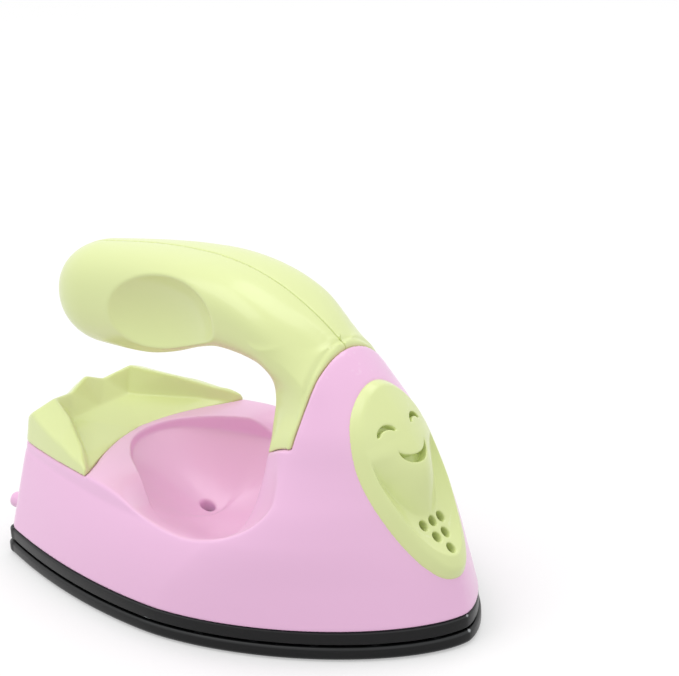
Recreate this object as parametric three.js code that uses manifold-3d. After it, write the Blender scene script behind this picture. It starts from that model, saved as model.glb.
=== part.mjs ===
// A small craft iron: a coated soleplate, a black heat shield, a pink housing with a thumb dish and
// a front cowl, a green rear deck, a green vented front badge and a green handle of two halves.
// Millimetres. +X points to the nose, +Y to the left side, +Z up. The origin is the middle of the
// flat sole face, so the iron stands on z = 0.

import * as THREE from 'three';
import { mergeVertices } from 'three/addons/utils/BufferGeometryUtils.js';
import Module from 'manifold-3d';

const wasm = await Module();
wasm.setup();

// Main sizes
const soleLength = 100;
const soleHalfWidth = 31.2;
const apexHeight = 53.2;

// Sole and heat shield
const soleTransomHalf = soleHalfWidth * 0.683;
const soleWidestX = soleLength * -0.02;
const soleThickness = 2.6;
const soleEdgeRise = 0.8;
const soleEdgeInset = 1.1;
const soleShoulder = 1.8;
const soleShoulderInset = 0.25;
const transomCorner = 2.2;
const shieldGroove = 0.4;
const shieldHeight = 2.5;
const shieldInset = 0.4;
const shieldRim = 5.5;
const shieldTabWidth = 1.4;
const shieldTabDepth = 1.2;
const shieldTabReach = 0.25;
const shieldTabPitch = 11.5;

// Housing
const bodyInset = 0.4;
const bodyWall = 1.8;
const seatGap = 0.2;
const cowlPlaneX = soleLength * 0.23;
const cowlLean = 1.2;
const bodyRearX = soleLength * -0.494;
const bodyRearHalf = soleHalfWidth * 0.487;
const sideEdgeHeight = apexHeight * 0.3853;
const deckEdgeHeight = apexHeight * 0.4305;
const deckEdgeX = soleLength * -0.18;
const deckRearHeight = apexHeight * 0.4135;
const edgeRiseStartX = soleLength * 0.05;
const edgeRiseHeight = apexHeight * 0.169;
const bodyCrown = 0.4;
const sideLeanReach = soleHalfWidth * 0.141;
const pegDiameter = 3.2;
const pegReach = 4;
const pegSpread = soleHalfWidth * 0.497;
const pegHeight = apexHeight * 0.154;

// Thumb dish and its raised rear rim
const dishCentreX = soleLength * -0.11;
const dishDepth = apexHeight * 0.218;
const dishRearLength = soleLength * 0.172;
const dishFrontLength = soleLength * 0.42;
const dishRearHalf = soleHalfWidth * 0.5;
const dishFrontHalf = soleHalfWidth * 0.91;
const dishSpreadX = soleLength * -0.2;
const dishSpreadLength = soleLength * 0.2;
const rimCentreX = soleLength * -0.08;
const rimLength = soleLength * 0.21;
const rimHalfWidth = soleHalfWidth * 0.526;
const rimStep = 1.7;
const rimSlope = 1.2;
const rimFadeX = soleLength * -0.17;
const rimFadeLength = soleLength * 0.15;
const dishHoleX = soleLength * -0.142;
const dishHole = 2.9;
const dishScrewDrop = 1.5;
const dishBossHeight = apexHeight * 0.21;

// Handle neck and its seat on the housing
const neckFrontHalf = soleHalfWidth * 0.506;
const neckRearHalf = soleHalfWidth * 0.295;
const neckRearX = soleLength * 0.102;
const neckCornerX = soleLength * 0.129;
const seatHeight = apexHeight * 0.701;
const seatFall = apexHeight * 0.153;
const footSpread = soleLength * 0.14;
const tenonHalfWidth = soleHalfWidth * 0.224;
const tenonDrop = apexHeight * 0.113;
const tenonRearX = soleLength * 0.146;
const seamGap = 0.3;

// Handle bar
const handleTailX = soleLength * -0.475;
const handleTailRound = soleLength * 0.12;
const handleWall = 2.2;
const handleWide = soleHalfWidth * 0.353;
const handleLow = apexHeight * 0.778;
const scoopX = soleLength * -0.135;
const scoopHeight = apexHeight * 1.005;
const scoopHalfLength = soleLength * 0.148;
const scoopHalfHeight = apexHeight * 0.162;
const scoopDepth = 3.6;
const scoopBall = 13;

// Rear deck
const deckWall = 1.6;
const deckLedge = 3;
const deckLip = 2.2;
const deckPeak = apexHeight * 0.596;

// Front badge
const badgeTopX = soleLength * 0.295;
const badgeTopHeight = apexHeight * 0.88;
const badgeBottomX = soleLength * 0.479;
const badgeBottomHeight = apexHeight * 0.2425;
const badgeHalfWidth = soleHalfWidth * 0.337;
const badgeThickness = 1.6;
const badgeProud = 0.4;
const badgeBib = 1.5;
const badgeBowl = 1.1;
const badgeChin = 1.1;
const badgeLedge = 1.5;
const badgeHole = 1.3;
const badgeHolePitch = 2.4;
const badgeHoleRow = 2.7;

// Fasteners and working parts
const screwHead = 2.7;
const screwHeadHeight = 1;
const screwShank = 1.6;
const screwSlack = 0.2;
const overrun = 4;
const postDiameter = 6;
const postHeight = apexHeight * 0.132;
const bossHeight = 2.4;
const rearScrewX = soleLength * -0.41;
const rearScrewY = soleHalfWidth * 0.353;
const noseScrewX = soleLength * 0.35;
const heaterDiameter = 5;
const heaterHalfWidth = soleHalfWidth * 0.545;
const heaterFrontX = soleLength * 0.24;
const heaterRearX = soleLength * -0.33;
const clampX = soleLength * -0.04;
const clampWidth = 6;
const clampThickness = 0.8;
const clampFoot = 4;
const thermostatX = soleLength * 0.14;
const thermostatDiameter = 13;
const thermostatHeight = 5;
const fuseLength = 9;
const fuseDiameter = 3;
const fuseX = soleLength * -0.27;
const blockLength = 8;
const blockWidth = soleHalfWidth * 0.449;
const blockHeight = apexHeight * 0.132;
const blockX = soleLength * -0.34;
const blockBase = apexHeight * 0.207;
const wireDiameter = 1.4;

// Interpolation through a table with no overshoot
function track(places, values) {
  const count = places.length;
  const secant = [];
  for (let i = 0; i < count - 1; i += 1) {
    secant.push((values[i + 1] - values[i]) / (places[i + 1] - places[i]));
  }
  const slope = values.map((value, i) => {
    if (i === 0) {
      return secant[0];
    }
    if (i === count - 1) {
      return secant[count - 2];
    }
    const before = secant[i - 1];
    const after = secant[i];
    if (before * after <= 0) {
      return 0;
    }
    return (2 * before * after) / (before + after);
  });
  return (place) => {
    if (place <= places[0]) {
      return values[0];
    }
    if (place >= places[count - 1]) {
      return values[count - 1];
    }
    let i = 0;
    while (place > places[i + 1]) {
      i += 1;
    }
    const span = places[i + 1] - places[i];
    const t = (place - places[i]) / span;
    const keepStart = (1 + 2 * t) * (1 - t) * (1 - t);
    const keepEnd = t * t * (3 - 2 * t);
    const leadStart = t * (1 - t) * (1 - t) * span;
    const leadEnd = t * t * (t - 1) * span;
    return values[i] * keepStart + values[i + 1] * keepEnd
      + slope[i] * leadStart + slope[i + 1] * leadEnd;
  };
}

function scaled(shares, size) {
  return shares.map((share) => share * size);
}

function ease(t) {
  const held = Math.min(1, Math.max(0, t));
  return held * held * (3 - 2 * held);
}

function mix(a, b, t) {
  return a + (b - a) * t;
}

// Closed solids from rings of points, every ring counterclockwise seen from the last one
function loft(rings) {
  const count = rings[0].length;
  const positions = [];
  const index = [];
  rings.forEach((ring) => ring.forEach((point) => positions.push(...point)));
  for (let j = 0; j < rings.length - 1; j += 1) {
    for (let i = 0; i < count; i += 1) {
      const a = j * count + i;
      const b = j * count + ((i + 1) % count);
      index.push(a, b, b + count, a, b + count, a + count);
    }
  }
  const last = (rings.length - 1) * count;
  [rings[0], rings[rings.length - 1]].forEach((ring, end) => {
    const centre = new THREE.Vector3();
    ring.forEach((point) => centre.add(new THREE.Vector3(...point)));
    centre.divideScalar(count);
    const hub = positions.length / 3;
    positions.push(centre.x, centre.y, centre.z);
    for (let i = 0; i < count; i += 1) {
      const next = (i + 1) % count;
      if (end === 0) {
        index.push(hub, next, i);
      } else {
        index.push(hub, last + i, last + next);
      }
    }
  });
  const geometry = new THREE.BufferGeometry();
  geometry.setAttribute('position', new THREE.Float32BufferAttribute(positions, 3));
  geometry.setIndex(index);
  return solid(geometry);
}

function solid(geometry) {
  const bare = geometry.clone();
  bare.deleteAttribute('normal');
  bare.deleteAttribute('uv');
  const welded = mergeVertices(bare);
  return new wasm.Manifold(new wasm.Mesh({
    numProp: 3,
    vertProperties: new Float32Array(welded.attributes.position.array),
    triVerts: new Uint32Array(welded.index.array),
  }));
}

function box(x0, x1, y0, y1, z0, z1) {
  const geometry = new THREE.BoxGeometry(x1 - x0, y1 - y0, z1 - z0);
  geometry.translate((x0 + x1) / 2, (y0 + y1) / 2, (z0 + z1) / 2);
  return solid(geometry);
}

function rod(x, y, z0, z1, diameter, sides = 20) {
  const geometry = new THREE.CylinderGeometry(diameter / 2, diameter / 2, z1 - z0, sides);
  geometry.rotateX(Math.PI / 2);
  geometry.translate(x, y, (z0 + z1) / 2);
  return solid(geometry);
}

function tube(points, diameter, steps, sides) {
  const path = new THREE.CatmullRomCurve3(points.map((point) => new THREE.Vector3(...point)));
  const round = new THREE.Shape();
  round.absarc(0, 0, diameter / 2, 0, Math.PI * 2);
  const geometry = new THREE.ExtrudeGeometry(round, {
    steps,
    curveSegments: sides,
    bevelEnabled: false,
    extrudePath: path,
  });
  return solid(geometry);
}

function union(first, ...others) {
  return others.reduce((whole, piece) => whole.add(piece), first);
}

function mirrored(points) {
  const back = points.slice(1).reverse().filter((point) => point[1] > 0);
  return [...points, ...back.map((point) => [point[0], -point[1], ...point.slice(2)])];
}

// Sole outline, nose first, along the left side to the square rear end
const soleFrontShare = 1.75;
const soleSideShare = 1.6;
const soleRearShare = 1.88;

function soleHalf(frontSteps, rearSteps) {
  const points = [];
  for (let i = 0; i <= frontSteps; i += 1) {
    const turn = (Math.PI / 2) * (i / frontSteps);
    points.push([
      mix(soleWidestX, soleLength / 2, Math.cos(turn) ** (2 / soleFrontShare)),
      soleHalfWidth * Math.sin(turn) ** (2 / soleSideShare),
    ]);
  }
  const rearX = -soleLength / 2;
  for (let i = 1; i < rearSteps; i += 1) {
    const t = i / rearSteps;
    points.push([
      mix(soleWidestX, rearX, t),
      mix(soleHalfWidth, soleTransomHalf, t ** soleRearShare),
    ]);
  }
  points.push([rearX + transomCorner, soleTransomHalf + transomCorner * 0.2]);
  points.push([rearX + transomCorner * 0.3, soleTransomHalf - transomCorner * 0.2]);
  points.push([rearX, soleTransomHalf - transomCorner]);
  return points;
}

function offsetRing(ring, inset) {
  const count = ring.length;
  return ring.map((point, i) => {
    const before = ring[(i + count - 1) % count];
    const after = ring[(i + 1) % count];
    const a = new THREE.Vector2(point[0] - before[0], point[1] - before[1]).normalize();
    const b = new THREE.Vector2(after[0] - point[0], after[1] - point[1]).normalize();
    const normal = new THREE.Vector2(-(a.y + b.y), a.x + b.x).normalize();
    const stretch = Math.max(0.5, -a.y * normal.x + a.x * normal.y);
    return [point[0] + (normal.x * inset) / stretch, point[1] + (normal.y * inset) / stretch];
  });
}

function raise(ring, z) {
  return ring.map((point) => [point[0], point[1], z]);
}

const soleRing = mirrored(soleHalf(13, 7));
const shieldBase = soleThickness + shieldGroove;
const shieldTop = shieldBase + shieldHeight;
const bodyBase = shieldTop + seatGap;

// Outer skin of the housing: half-widths and nose positions by height
const skinHeightShares = [0.107, 0.188, 0.263, 0.338, 0.385, 0.414, 0.489, 0.564, 0.639, 0.695, 0.742,
  0.786, 0.833, 0.88, 0.921, 0.953, 0.974, 0.987, 0.996, 1];
const skinWidthShares = [0.987, 0.967, 0.941, 0.902, 0.863, 0.83, 0.737, 0.631, 0.548, 0.504, 0.464,
  0.42, 0.372, 0.324, 0.269, 0.208, 0.16, 0.116, 0.061, 0.0064];
const skinWidth = track(scaled(skinHeightShares, apexHeight), scaled(skinWidthShares, soleHalfWidth));
const noseHeightShares = [0.1034, 0.2632, 0.4135, 0.5639, 0.7143, 0.8459, 0.9398, 1];
const noseShares = [0.992, 0.954, 0.886, 0.82, 0.74, 0.628, 0.532, 0.462];
const skinNose = track(scaled(noseHeightShares, apexHeight), scaled(noseShares, soleLength / 2));
const widestHeightShares = [0.107, 0.188, 0.263, 0.338, 0.414, 0.489, 0.564, 0.639, 0.714, 0.789, 1];
const widestPlaceShares = [-0.04, 0.09, 0.226, 0.391, 0.565, 0.717, 0.839, 0.926, 0.983, 1, 1];
const skinWidest = track(
  scaled(widestHeightShares, apexHeight),
  scaled(widestPlaceShares, cowlPlaneX),
);
const bendHeightShares = [0.107, 0.263];
const bendFrontShares = [1.75, 1.62];
const bendSideShares = [1.6, 1.5];
const bendFront = track(scaled(bendHeightShares, apexHeight), bendFrontShares);
const bendSide = track(scaled(bendHeightShares, apexHeight), bendSideShares);

// Rear half-width at the height of the deck, and the way it leans in as it rises
function rearHalf(x, z) {
  const low = skinWidth(sideEdgeHeight);
  const widest = skinWidest(sideEdgeHeight);
  const t = Math.min(1, Math.max(0, (widest - x) / (widest - bodyRearX)));
  const level = mix(low, bodyRearHalf + bodyInset, t ** 2.1);
  const rise = (z - sideEdgeHeight) / sideEdgeHeight;
  return level - sideLeanReach * rise;
}

function skinHalf(x, z) {
  const widest = skinWidest(z);
  const wide = skinWidth(z);
  if (x >= widest) {
    const u = Math.min(1, (x - widest) / (skinNose(z) - widest));
    return wide * Math.max(0, 1 - u ** bendFront(z)) ** (1 / bendSide(z));
  }
  if (z <= sideEdgeHeight) {
    const t = (widest - x) / (widest + soleLength / 2);
    const level = (z - bodyBase) / (sideEdgeHeight - bodyBase);
    const end = mix(soleTransomHalf - bodyInset, bodyRearHalf + bodyInset, level);
    return mix(wide, end, Math.min(1, t) ** mix(soleRearShare, 2.1, level));
  }
  const blend = ease((x - widest / 2) / (widest / 2));
  return mix(rearHalf(x, z), wide, Math.max(0, blend));
}

function skinRear(z) {
  const level = Math.min(1, (z - bodyBase) / (deckRearHeight - bodyBase));
  return mix(-soleLength / 2 + bodyInset, bodyRearX, level);
}

function skinRing(z, inset, frontSteps, rearSteps) {
  const widest = skinWidest(z);
  const nose = skinNose(z);
  const rear = skinRear(z);
  const points = [];
  for (let i = 0; i <= frontSteps; i += 1) {
    const turn = (Math.PI / 2) * (i / frontSteps);
    points.push([
      mix(widest, nose, Math.cos(turn) ** (2 / bendFront(z))),
      skinWidth(z) * Math.sin(turn) ** (2 / bendSide(z)),
    ]);
  }
  for (let i = 1; i < rearSteps; i += 1) {
    const x = mix(widest, rear + transomCorner, i / rearSteps);
    points.push([x, skinHalf(x, z)]);
  }
  const corner = skinHalf(rear + transomCorner, z);
  points.push([rear + transomCorner, corner]);
  points.push([rear + transomCorner * 0.3, corner - transomCorner * 0.35]);
  points.push([rear, corner - transomCorner * 1.1]);
  const ring = mirrored(points);
  return raise(inset === 0 ? ring : offsetRing(ring, inset), z);
}

const skinLevelShares = [0.15, 0.23, 0.31, 0.3853, 0.43, 0.47, 0.51, 0.55, 0.6, 0.66, 0.73, 0.79, 0.85,
  0.89, 0.93, 0.97, 0.99, 1];

function skinSolid(inset, base, frontSteps, rearSteps, shares) {
  const levels = [base, ...scaled(shares, apexHeight)];
  return loft(levels.map((z) => skinRing(z, inset, frontSteps, rearSteps)));
}

// Everything ahead of the seam between handle and cowl, which leans forward as it rises
function aheadOfSeam(offset) {
  const lid = apexHeight * 1.4;
  const wide = soleHalfWidth * 1.1;
  return loft([0, seatHeight, lid].map((z) => {
    const lean = (cowlLean * Math.max(0, z - seatHeight)) / (apexHeight - seatHeight);
    const x = cowlPlaneX + lean + offset;
    return [[x, -wide, z], [soleLength, -wide, z], [soleLength, wide, z], [x, wide, z]];
  }));
}

// Height of the cowl's rear arch over a point across it
const archSideShares = [0.42, 0.5, 0.549, 0.637, 0.743, 0.843];
const archHeightShares = [0.789, 0.709, 0.636, 0.561, 0.487, 0.414];
const archLevel = track(
  scaled(archSideShares, soleHalfWidth),
  scaled(archHeightShares, apexHeight),
);

// Top of the housing behind the cowl: side edge, dish, rim and the foot that carries the handle
function seatLevel(x) {
  const t = Math.min(1.1, Math.max(0, (cowlPlaneX - x) / (cowlPlaneX - neckRearX)));
  return seatHeight - seatFall * mix(t, t * t, 0.7);
}

const edgeLevel = track(
  [bodyRearX, deckEdgeX - deckLedge, deckEdgeX, mix(deckEdgeX, edgeRiseStartX, 0.42), edgeRiseStartX],
  [deckRearHeight, deckEdgeHeight, deckEdgeHeight, mix(deckEdgeHeight, sideEdgeHeight, 0.45),
    sideEdgeHeight],
);

function neckDistance(x, y, shrink) {
  const side = Math.abs(y);
  const run = cowlPlaneX - neckCornerX;
  const slope = (neckFrontHalf - neckRearHalf) / run;
  const across = (side - (neckRearHalf + (x - neckCornerX) * slope)) / Math.hypot(1, slope);
  const behind = neckRearX - x;
  const round = neckCornerX - neckRearX;
  const a = across + round + shrink;
  const b = behind + round + shrink;
  const outside = Math.hypot(Math.max(a, 0), Math.max(b, 0));
  return outside + Math.min(Math.max(a, b), 0) - round;
}

function rimFade(x) {
  return 1 - ease((x - rimFadeX) / rimFadeLength);
}

function rimReach(x, y) {
  return Math.hypot((x - rimCentreX) / rimLength, y / rimHalfWidth);
}

function topLevel(x, y, drop, shrink) {
  const side = Math.abs(y) / soleHalfWidth;
  const crown = bodyCrown * (1 - side * side);
  const rearward = x < dishCentreX;
  const reach = rearward ? dishRearLength : dishFrontLength;
  const spread = mix(dishRearHalf, dishFrontHalf, ease((x - dishSpreadX) / dishSpreadLength));
  const r2 = ((x - dishCentreX) / reach) ** 2 + (y / spread) ** 2;
  const bowl = dishDepth * Math.max(0, 1 - r2) ** 1.25;
  const inside = (1 - rimReach(x, y)) * (rimHalfWidth / rimSlope) + (drop > 0 ? 2 : 0);
  const step = rimStep * Math.min(1, Math.max(0, inside)) * rimFade(x);
  const floor = edgeLevel(x) + crown - bowl - step;
  const t = Math.min(1, Math.max(0, (x - edgeRiseStartX) / (cowlPlaneX - edgeRiseStartX)));
  const climb = Math.max(edgeRiseHeight, Math.min(archLevel(Math.abs(y)), seatHeight) - sideEdgeHeight);
  const front = climb * (1 - Math.sqrt(1 - t * t * 0.9999));
  const away = Math.min(1, Math.max(0, neckDistance(x, y, shrink) / footSpread));
  const foot = (seatLevel(x) - floor) * (1 - away) ** 2.6;
  return Math.min(seatLevel(x), floor + Math.hypot(front, foot)) - drop;
}

const rimSearchShare = 0.12;

// Everything above the housing's top, as a solid to take away
function aboveTop(drop, shrink, turns, radials) {
  const lid = apexHeight * 1.2;
  const rimY = soleHalfWidth * 1.15;
  const rearX = -soleLength * 0.56;
  const front = cowlPlaneX - shrink;
  const round = neckCornerX - neckRearX;
  const run = cowlPlaneX - neckCornerX;
  const slope = (neckFrontHalf - neckRearHalf) / run;
  const inner = [];
  const outer = [];
  for (let i = 0; i <= turns; i += 1) {
    const v = (i / turns) * 2 - 1;
    const side = Math.abs(v);
    const sign = Math.sign(v);
    let x = neckRearX + shrink;
    let y = 0;
    if (side > 0.62) {
      const t = (side - 0.62) / 0.38;
      x = mix(neckCornerX + shrink * 0.5, front, t);
      y = neckRearHalf + (x - neckCornerX) * slope - shrink * Math.hypot(1, slope);
    } else if (side > 0.4) {
      const turn = ((side - 0.4) / 0.22) * (Math.PI / 2);
      x = neckRearX + shrink + round * (1 - Math.cos(turn));
      y = neckRearHalf - shrink - round * (1 - Math.sin(turn));
    } else {
      y = (neckRearHalf - shrink - round) * (side / 0.4);
    }
    inner.push([x, y * sign]);
    const edge = side > 0.42 ? 1 : side / 0.42;
    const along = side > 0.42 ? (side - 0.42) / 0.58 : 0;
    outer.push([mix(rearX, front, along ** 0.9), rimY * edge * sign]);
  }
  const between = (i, out) => [mix(inner[i][0], outer[i][0], out), mix(inner[i][1], outer[i][1], out)];
  const reachAt = (i, out) => rimReach(...between(i, out));
  const crossing = (i, reach) => {
    let low = rimSearchShare;
    let high = 1;
    for (let k = 0; k < 30; k += 1) {
      const middle = (low + high) / 2;
      if (reachAt(i, middle) < reach) {
        low = middle;
      } else {
        high = middle;
      }
    }
    return (low + high) / 2;
  };
  const foot = 1 - rimSlope / rimHalfWidth;
  const outShares = inner.map((point, i) => {
    const shares = [];
    const held = drop === 0 && reachAt(i, rimSearchShare) < foot;
    const rimStart = held ? crossing(i, foot) : 0;
    const rimEnd = held ? crossing(i, 1) : 0;
    const weight = held ? Math.min(1, rimFade(between(i, rimEnd)[0]) * 2) : 0;
    for (let j = 0; j <= radials; j += 1) {
      const s = j / radials;
      const rest = radials - 3;
      const onRim = j < rest
        ? mix(0, rimStart, (j / (rest - 1)) ** 1.3)
        : mix(rimEnd, 1, ((j - rest) / 3) ** 1.3);
      shares.push(mix(0.35 * s + 0.65 * s * s, onRim, weight));
    }
    return shares;
  });
  const spots = [];
  for (let j = 0; j <= radials; j += 1) {
    spots.push(inner.map((point, i) => between(i, outShares[i][j])));
  }
  const positions = [];
  const index = [];
  const row = turns + 1;
  const add = (x, y, z) => {
    positions.push(x, y, z);
    return positions.length / 3 - 1;
  };
  const floor = (p) => add(p[0], p[1], topLevel(p[0], p[1], drop, shrink));
  const low = spots.map((ring) => ring.map(floor));
  const seatRow = inner.map((p) => add(p[0], 0, seatLevel(p[0]) - drop));
  const high = spots.map((ring) => ring.map((p) => add(p[0], p[1], lid)));
  const highMid = inner.map((p) => add(p[0], 0, lid));
  const quad = (a, b, c, d, flip) => {
    if (flip) {
      index.push(a, b, c, a, c, d);
    } else {
      index.push(a, c, b, a, d, c);
    }
  };
  for (let i = 0; i < row - 1; i += 1) {
    for (let j = 0; j < radials; j += 1) {
      quad(low[j][i], low[j][i + 1], low[j + 1][i + 1], low[j + 1][i], false);
      quad(high[j][i], high[j][i + 1], high[j + 1][i + 1], high[j + 1][i], true);
    }
    quad(seatRow[i], seatRow[i + 1], low[0][i + 1], low[0][i], false);
    quad(highMid[i], highMid[i + 1], high[0][i + 1], high[0][i], true);
    quad(low[radials][i], low[radials][i + 1], high[radials][i + 1], high[radials][i], false);
  }
  [0, row - 1].forEach((i, end) => {
    for (let j = 0; j < radials; j += 1) {
      quad(low[j][i], low[j + 1][i], high[j + 1][i], high[j][i], end === 1);
    }
    quad(seatRow[i], low[0][i], high[0][i], highMid[i], end === 1);
  });
  const geometry = new THREE.BufferGeometry();
  geometry.setAttribute('position', new THREE.Float32BufferAttribute(positions, 3));
  geometry.setIndex(index);
  return solid(geometry);
}

// Handle bar: vertical sections from the tail to the plane of the cowl
const barPlaceShares = [0, 0.138, 0.254, 0.353, 0.461, 0.567, 0.674, 0.745, 0.821, 0.887, 0.946, 1];
const barTopShares = [1.139, 1.162, 1.184, 1.201, 1.212, 1.214, 1.201, 1.18, 1.145, 1.101, 1.054, 1];
const barLowShares = [1, 1, 1.005, 1.019, 1.068, 1.136, 1.174, 1.17, 1.143, 1.087, 1.039, 0.966];
const barWideShares = [0.76, 0.8, 0.84, 0.891, 0.945, 0.982, 1, 1, 0.991, 0.964, 0.927, 0.891];
const barBendShares = [2.1, 2.2, 2.3, 2.4, 2.6, 2.8, 2.8, 2.8, 2.7, 2.6, 2.5, 2.4];
const barPlaces = barPlaceShares.map((share) => mix(handleTailX, cowlPlaneX, share));
const barTop = track(barPlaces, scaled(barTopShares, apexHeight));
const barLow = track(barPlaces, scaled(barLowShares, handleLow));
const barWide = track(barPlaces, scaled(barWideShares, handleWide));
const barBend = track(barPlaces, barBendShares);

function barRing(x, inset, sides) {
  const top = barTop(x);
  const low = barLow(x);
  const into = Math.max(0, (handleTailX + handleTailRound - x) / handleTailRound);
  const shrink = Math.max(0, 1 - into ** 2.2) ** (1 / 2.2);
  const rise = ((top - low) / 2 - inset) * shrink;
  const wide = (barWide(x) - inset) * shrink;
  const middle = (top + low) / 2;
  const blend = ease((x - neckRearX) / (cowlPlaneX - neckRearX)) ** 1.5;
  const bend = barBend(x);
  const archMiddle = (barTop(cowlPlaneX) + barLow(cowlPlaneX)) / 2;
  const ring = [];
  for (let i = 0; i < sides; i += 1) {
    const turn = (Math.PI * 2 * i) / sides;
    const c = Math.cos(turn);
    const s = Math.sin(turn);
    const cBend = Math.abs(c) < 0.001 ? 0 : Math.sign(c) * Math.abs(c) ** (2 / bend);
    const sBend = Math.sign(s) * Math.abs(s) ** (2 / bend);
    const archLift = mix(archMiddle, apexHeight, Math.max(0, sBend));
    const archSide = Math.max(0, skinWidth(archLift) - inset) * (s > 0 ? Math.sign(cBend) : cBend);
    ring.push([x, mix(wide * cBend, archSide, blend), middle + rise * sBend]);
  }
  return ring;
}

function barSolid(inset, sides, spans, endX) {
  const rings = [];
  const startX = handleTailX + inset;
  const tailEndX = handleTailX + handleTailRound;
  const tailSteps = 5;
  for (let i = 0; i < tailSteps; i += 1) {
    const t = 1 - Math.cos((Math.PI / 2) * (i / tailSteps));
    const tip = i === 0 ? seatGap * 0.3 : 0;
    rings.push(barRing(mix(startX, tailEndX, t) + tip, inset, sides));
  }
  for (let i = 0; i <= spans; i += 1) {
    rings.push(barRing(mix(tailEndX, endX, i / spans), inset, sides));
  }
  return loft(rings);
}

// Handle neck: level sections from below its seat up into the bar
const neckLevelShares = [0.5, 0.6, 0.66, 0.703, 0.744, 0.786, 0.833, 0.861, 0.889, 0.91, 0.94];
const neckBackShares = [1, 1, 1.1, 1.18, 1.24, 1.29, 1.31, 1.29, 1.15, 0.93, 0.5];
const neckHalfShares = [1, 1, 1, 1, 1, 1, 1, 0.98, 0.95, 0.9, 0.8];
const neckBack = track(scaled(neckLevelShares, apexHeight), scaled(neckBackShares, neckRearX));
const neckHalf = track(scaled(neckLevelShares, apexHeight), scaled(neckHalfShares, neckRearHalf));

function neckRing(z, inset, frontX) {
  const back = neckBack(z) + inset;
  const round = neckCornerX - neckRearX;
  const half = neckHalf(z) - inset;
  const frontHalf = Math.min(skinWidth(z), neckFrontHalf) - inset;
  const corner = back + round;
  const points = [[frontX, 0]];
  for (let i = 0; i <= 4; i += 1) {
    const t = i / 4;
    const swell = Math.sin(Math.PI * t) * round * 0.12;
    points.push([mix(frontX, corner, t), mix(frontHalf, half, t) + swell]);
  }
  for (let i = 1; i <= 3; i += 1) {
    const turn = (Math.PI / 2) * (i / 3);
    points.push([corner - round * Math.sin(turn), half - round * (1 - Math.cos(turn))]);
  }
  points.push([back, 0]);
  return raise(mirrored(points), z);
}

function neckSolid(inset, lowShare, frontX) {
  const shares = neckLevelShares.filter((share) => share > lowShare);
  return loft([lowShare, ...shares].map((share) => neckRing(share * apexHeight, inset, frontX)));
}

// The seat cut: everything below the neck's sloping underside
function belowSeat(lift) {
  const steps = 14;
  const rings = [];
  for (let i = 0; i <= steps; i += 1) {
    const x = mix(neckRearX - overrun, cowlPlaneX + overrun, i / steps);
    const z = seatLevel(Math.min(x, cowlPlaneX)) + lift;
    rings.push([
      [x, -soleHalfWidth, 0],
      [x, soleHalfWidth, 0],
      [x, soleHalfWidth, z],
      [x, -soleHalfWidth, z],
    ]);
  }
  return loft(rings);
}

function scoop(side, grow) {
  const geometry = new THREE.SphereGeometry(1, 20, 14);
  const chord = Math.sqrt(1 - (1 - scoopDepth / scoopBall) ** 2);
  geometry.scale(scoopHalfLength / chord + grow, scoopBall + grow, scoopHalfHeight / chord + grow);
  geometry.rotateY(-Math.PI / 17);
  geometry.translate(scoopX, side * (barWide(scoopX) - scoopDepth + scoopBall), scoopHeight);
  return solid(geometry);
}

const neckFrontX = cowlPlaneX - seamGap / 2;
const tenonTop = seatHeight + seatGap;
const tenonBase = seatLevel(tenonRearX) - tenonDrop;
const handleScrewShares = [[0.27, 0.3], [0.91, 0.45]];

function handleHalf(side) {
  const cheek = skinSolid(0, seatHeight, 5, 3, skinLevelShares.slice(10))
    .intersect(box(neckFrontX - seamGap, soleLength, -soleHalfWidth, soleHalfWidth, 0, apexHeight))
    .subtract(aheadOfSeam(-seamGap / 2));
  const outer = union(barSolid(0, 22, 13, neckFrontX), neckSolid(0, 0.5, neckFrontX), cheek)
    .subtract(belowSeat(seatGap));
  const hollow = barSolid(handleWall, 10, 6, neckCornerX)
    .subtract(scoop(1, handleWall))
    .subtract(scoop(-1, handleWall));
  const tenon = box(
    tenonRearX, neckFrontX - handleWall, -tenonHalfWidth, tenonHalfWidth, tenonBase, tenonTop,
  );
  const inner = side > 0 ? seamGap / 2 : -seamGap / 2;
  const far = side * soleHalfWidth;
  const keep = box(
    -soleLength, soleLength, Math.min(inner, far), Math.max(inner, far), 0, apexHeight * 2,
  );
  let half = union(outer.subtract(hollow), tenon)
    .subtract(scoop(1, 0))
    .subtract(scoop(-1, 0));
  handleScrews.forEach((screw) => {
    half = half.add(crossRod(screw, -handleWide, handleWide, screwHead * 2).intersect(outer));
  });
  half = half.intersect(keep);
  handleScrews.forEach((screw) => {
    half = half.subtract(crossRod(screw, screw.seat, soleHalfWidth, screwHead + screwSlack * 2));
    half = half.subtract(crossRod(screw, screw.tip - screwSlack, soleHalfWidth, screwShank + screwSlack));
  });
  return half;
}

// Cross screws join the halves from the left side
const handleScrews = handleScrewShares.map((share) => {
  const x = mix(handleTailX, cowlPlaneX, share[0]);
  const z = mix(barLow(x), barTop(x), share[1]);
  return { x, z, seat: handleWide * 0.36, tip: -handleWide * 0.36 };
});

function crossRod(screw, y0, y1, diameter) {
  const geometry = new THREE.CylinderGeometry(diameter / 2, diameter / 2, y1 - y0, 16);
  geometry.translate(screw.x, (y0 + y1) / 2, screw.z);
  return solid(geometry);
}

function handleScrew(screw) {
  const gap = screwSlack / 2;
  const head = crossRod(screw, screw.seat + gap, screw.seat + gap + screwHeadHeight, screwHead);
  return head.add(crossRod(screw, screw.tip, screw.seat + screwHeadHeight / 2, screwShank));
}

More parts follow.
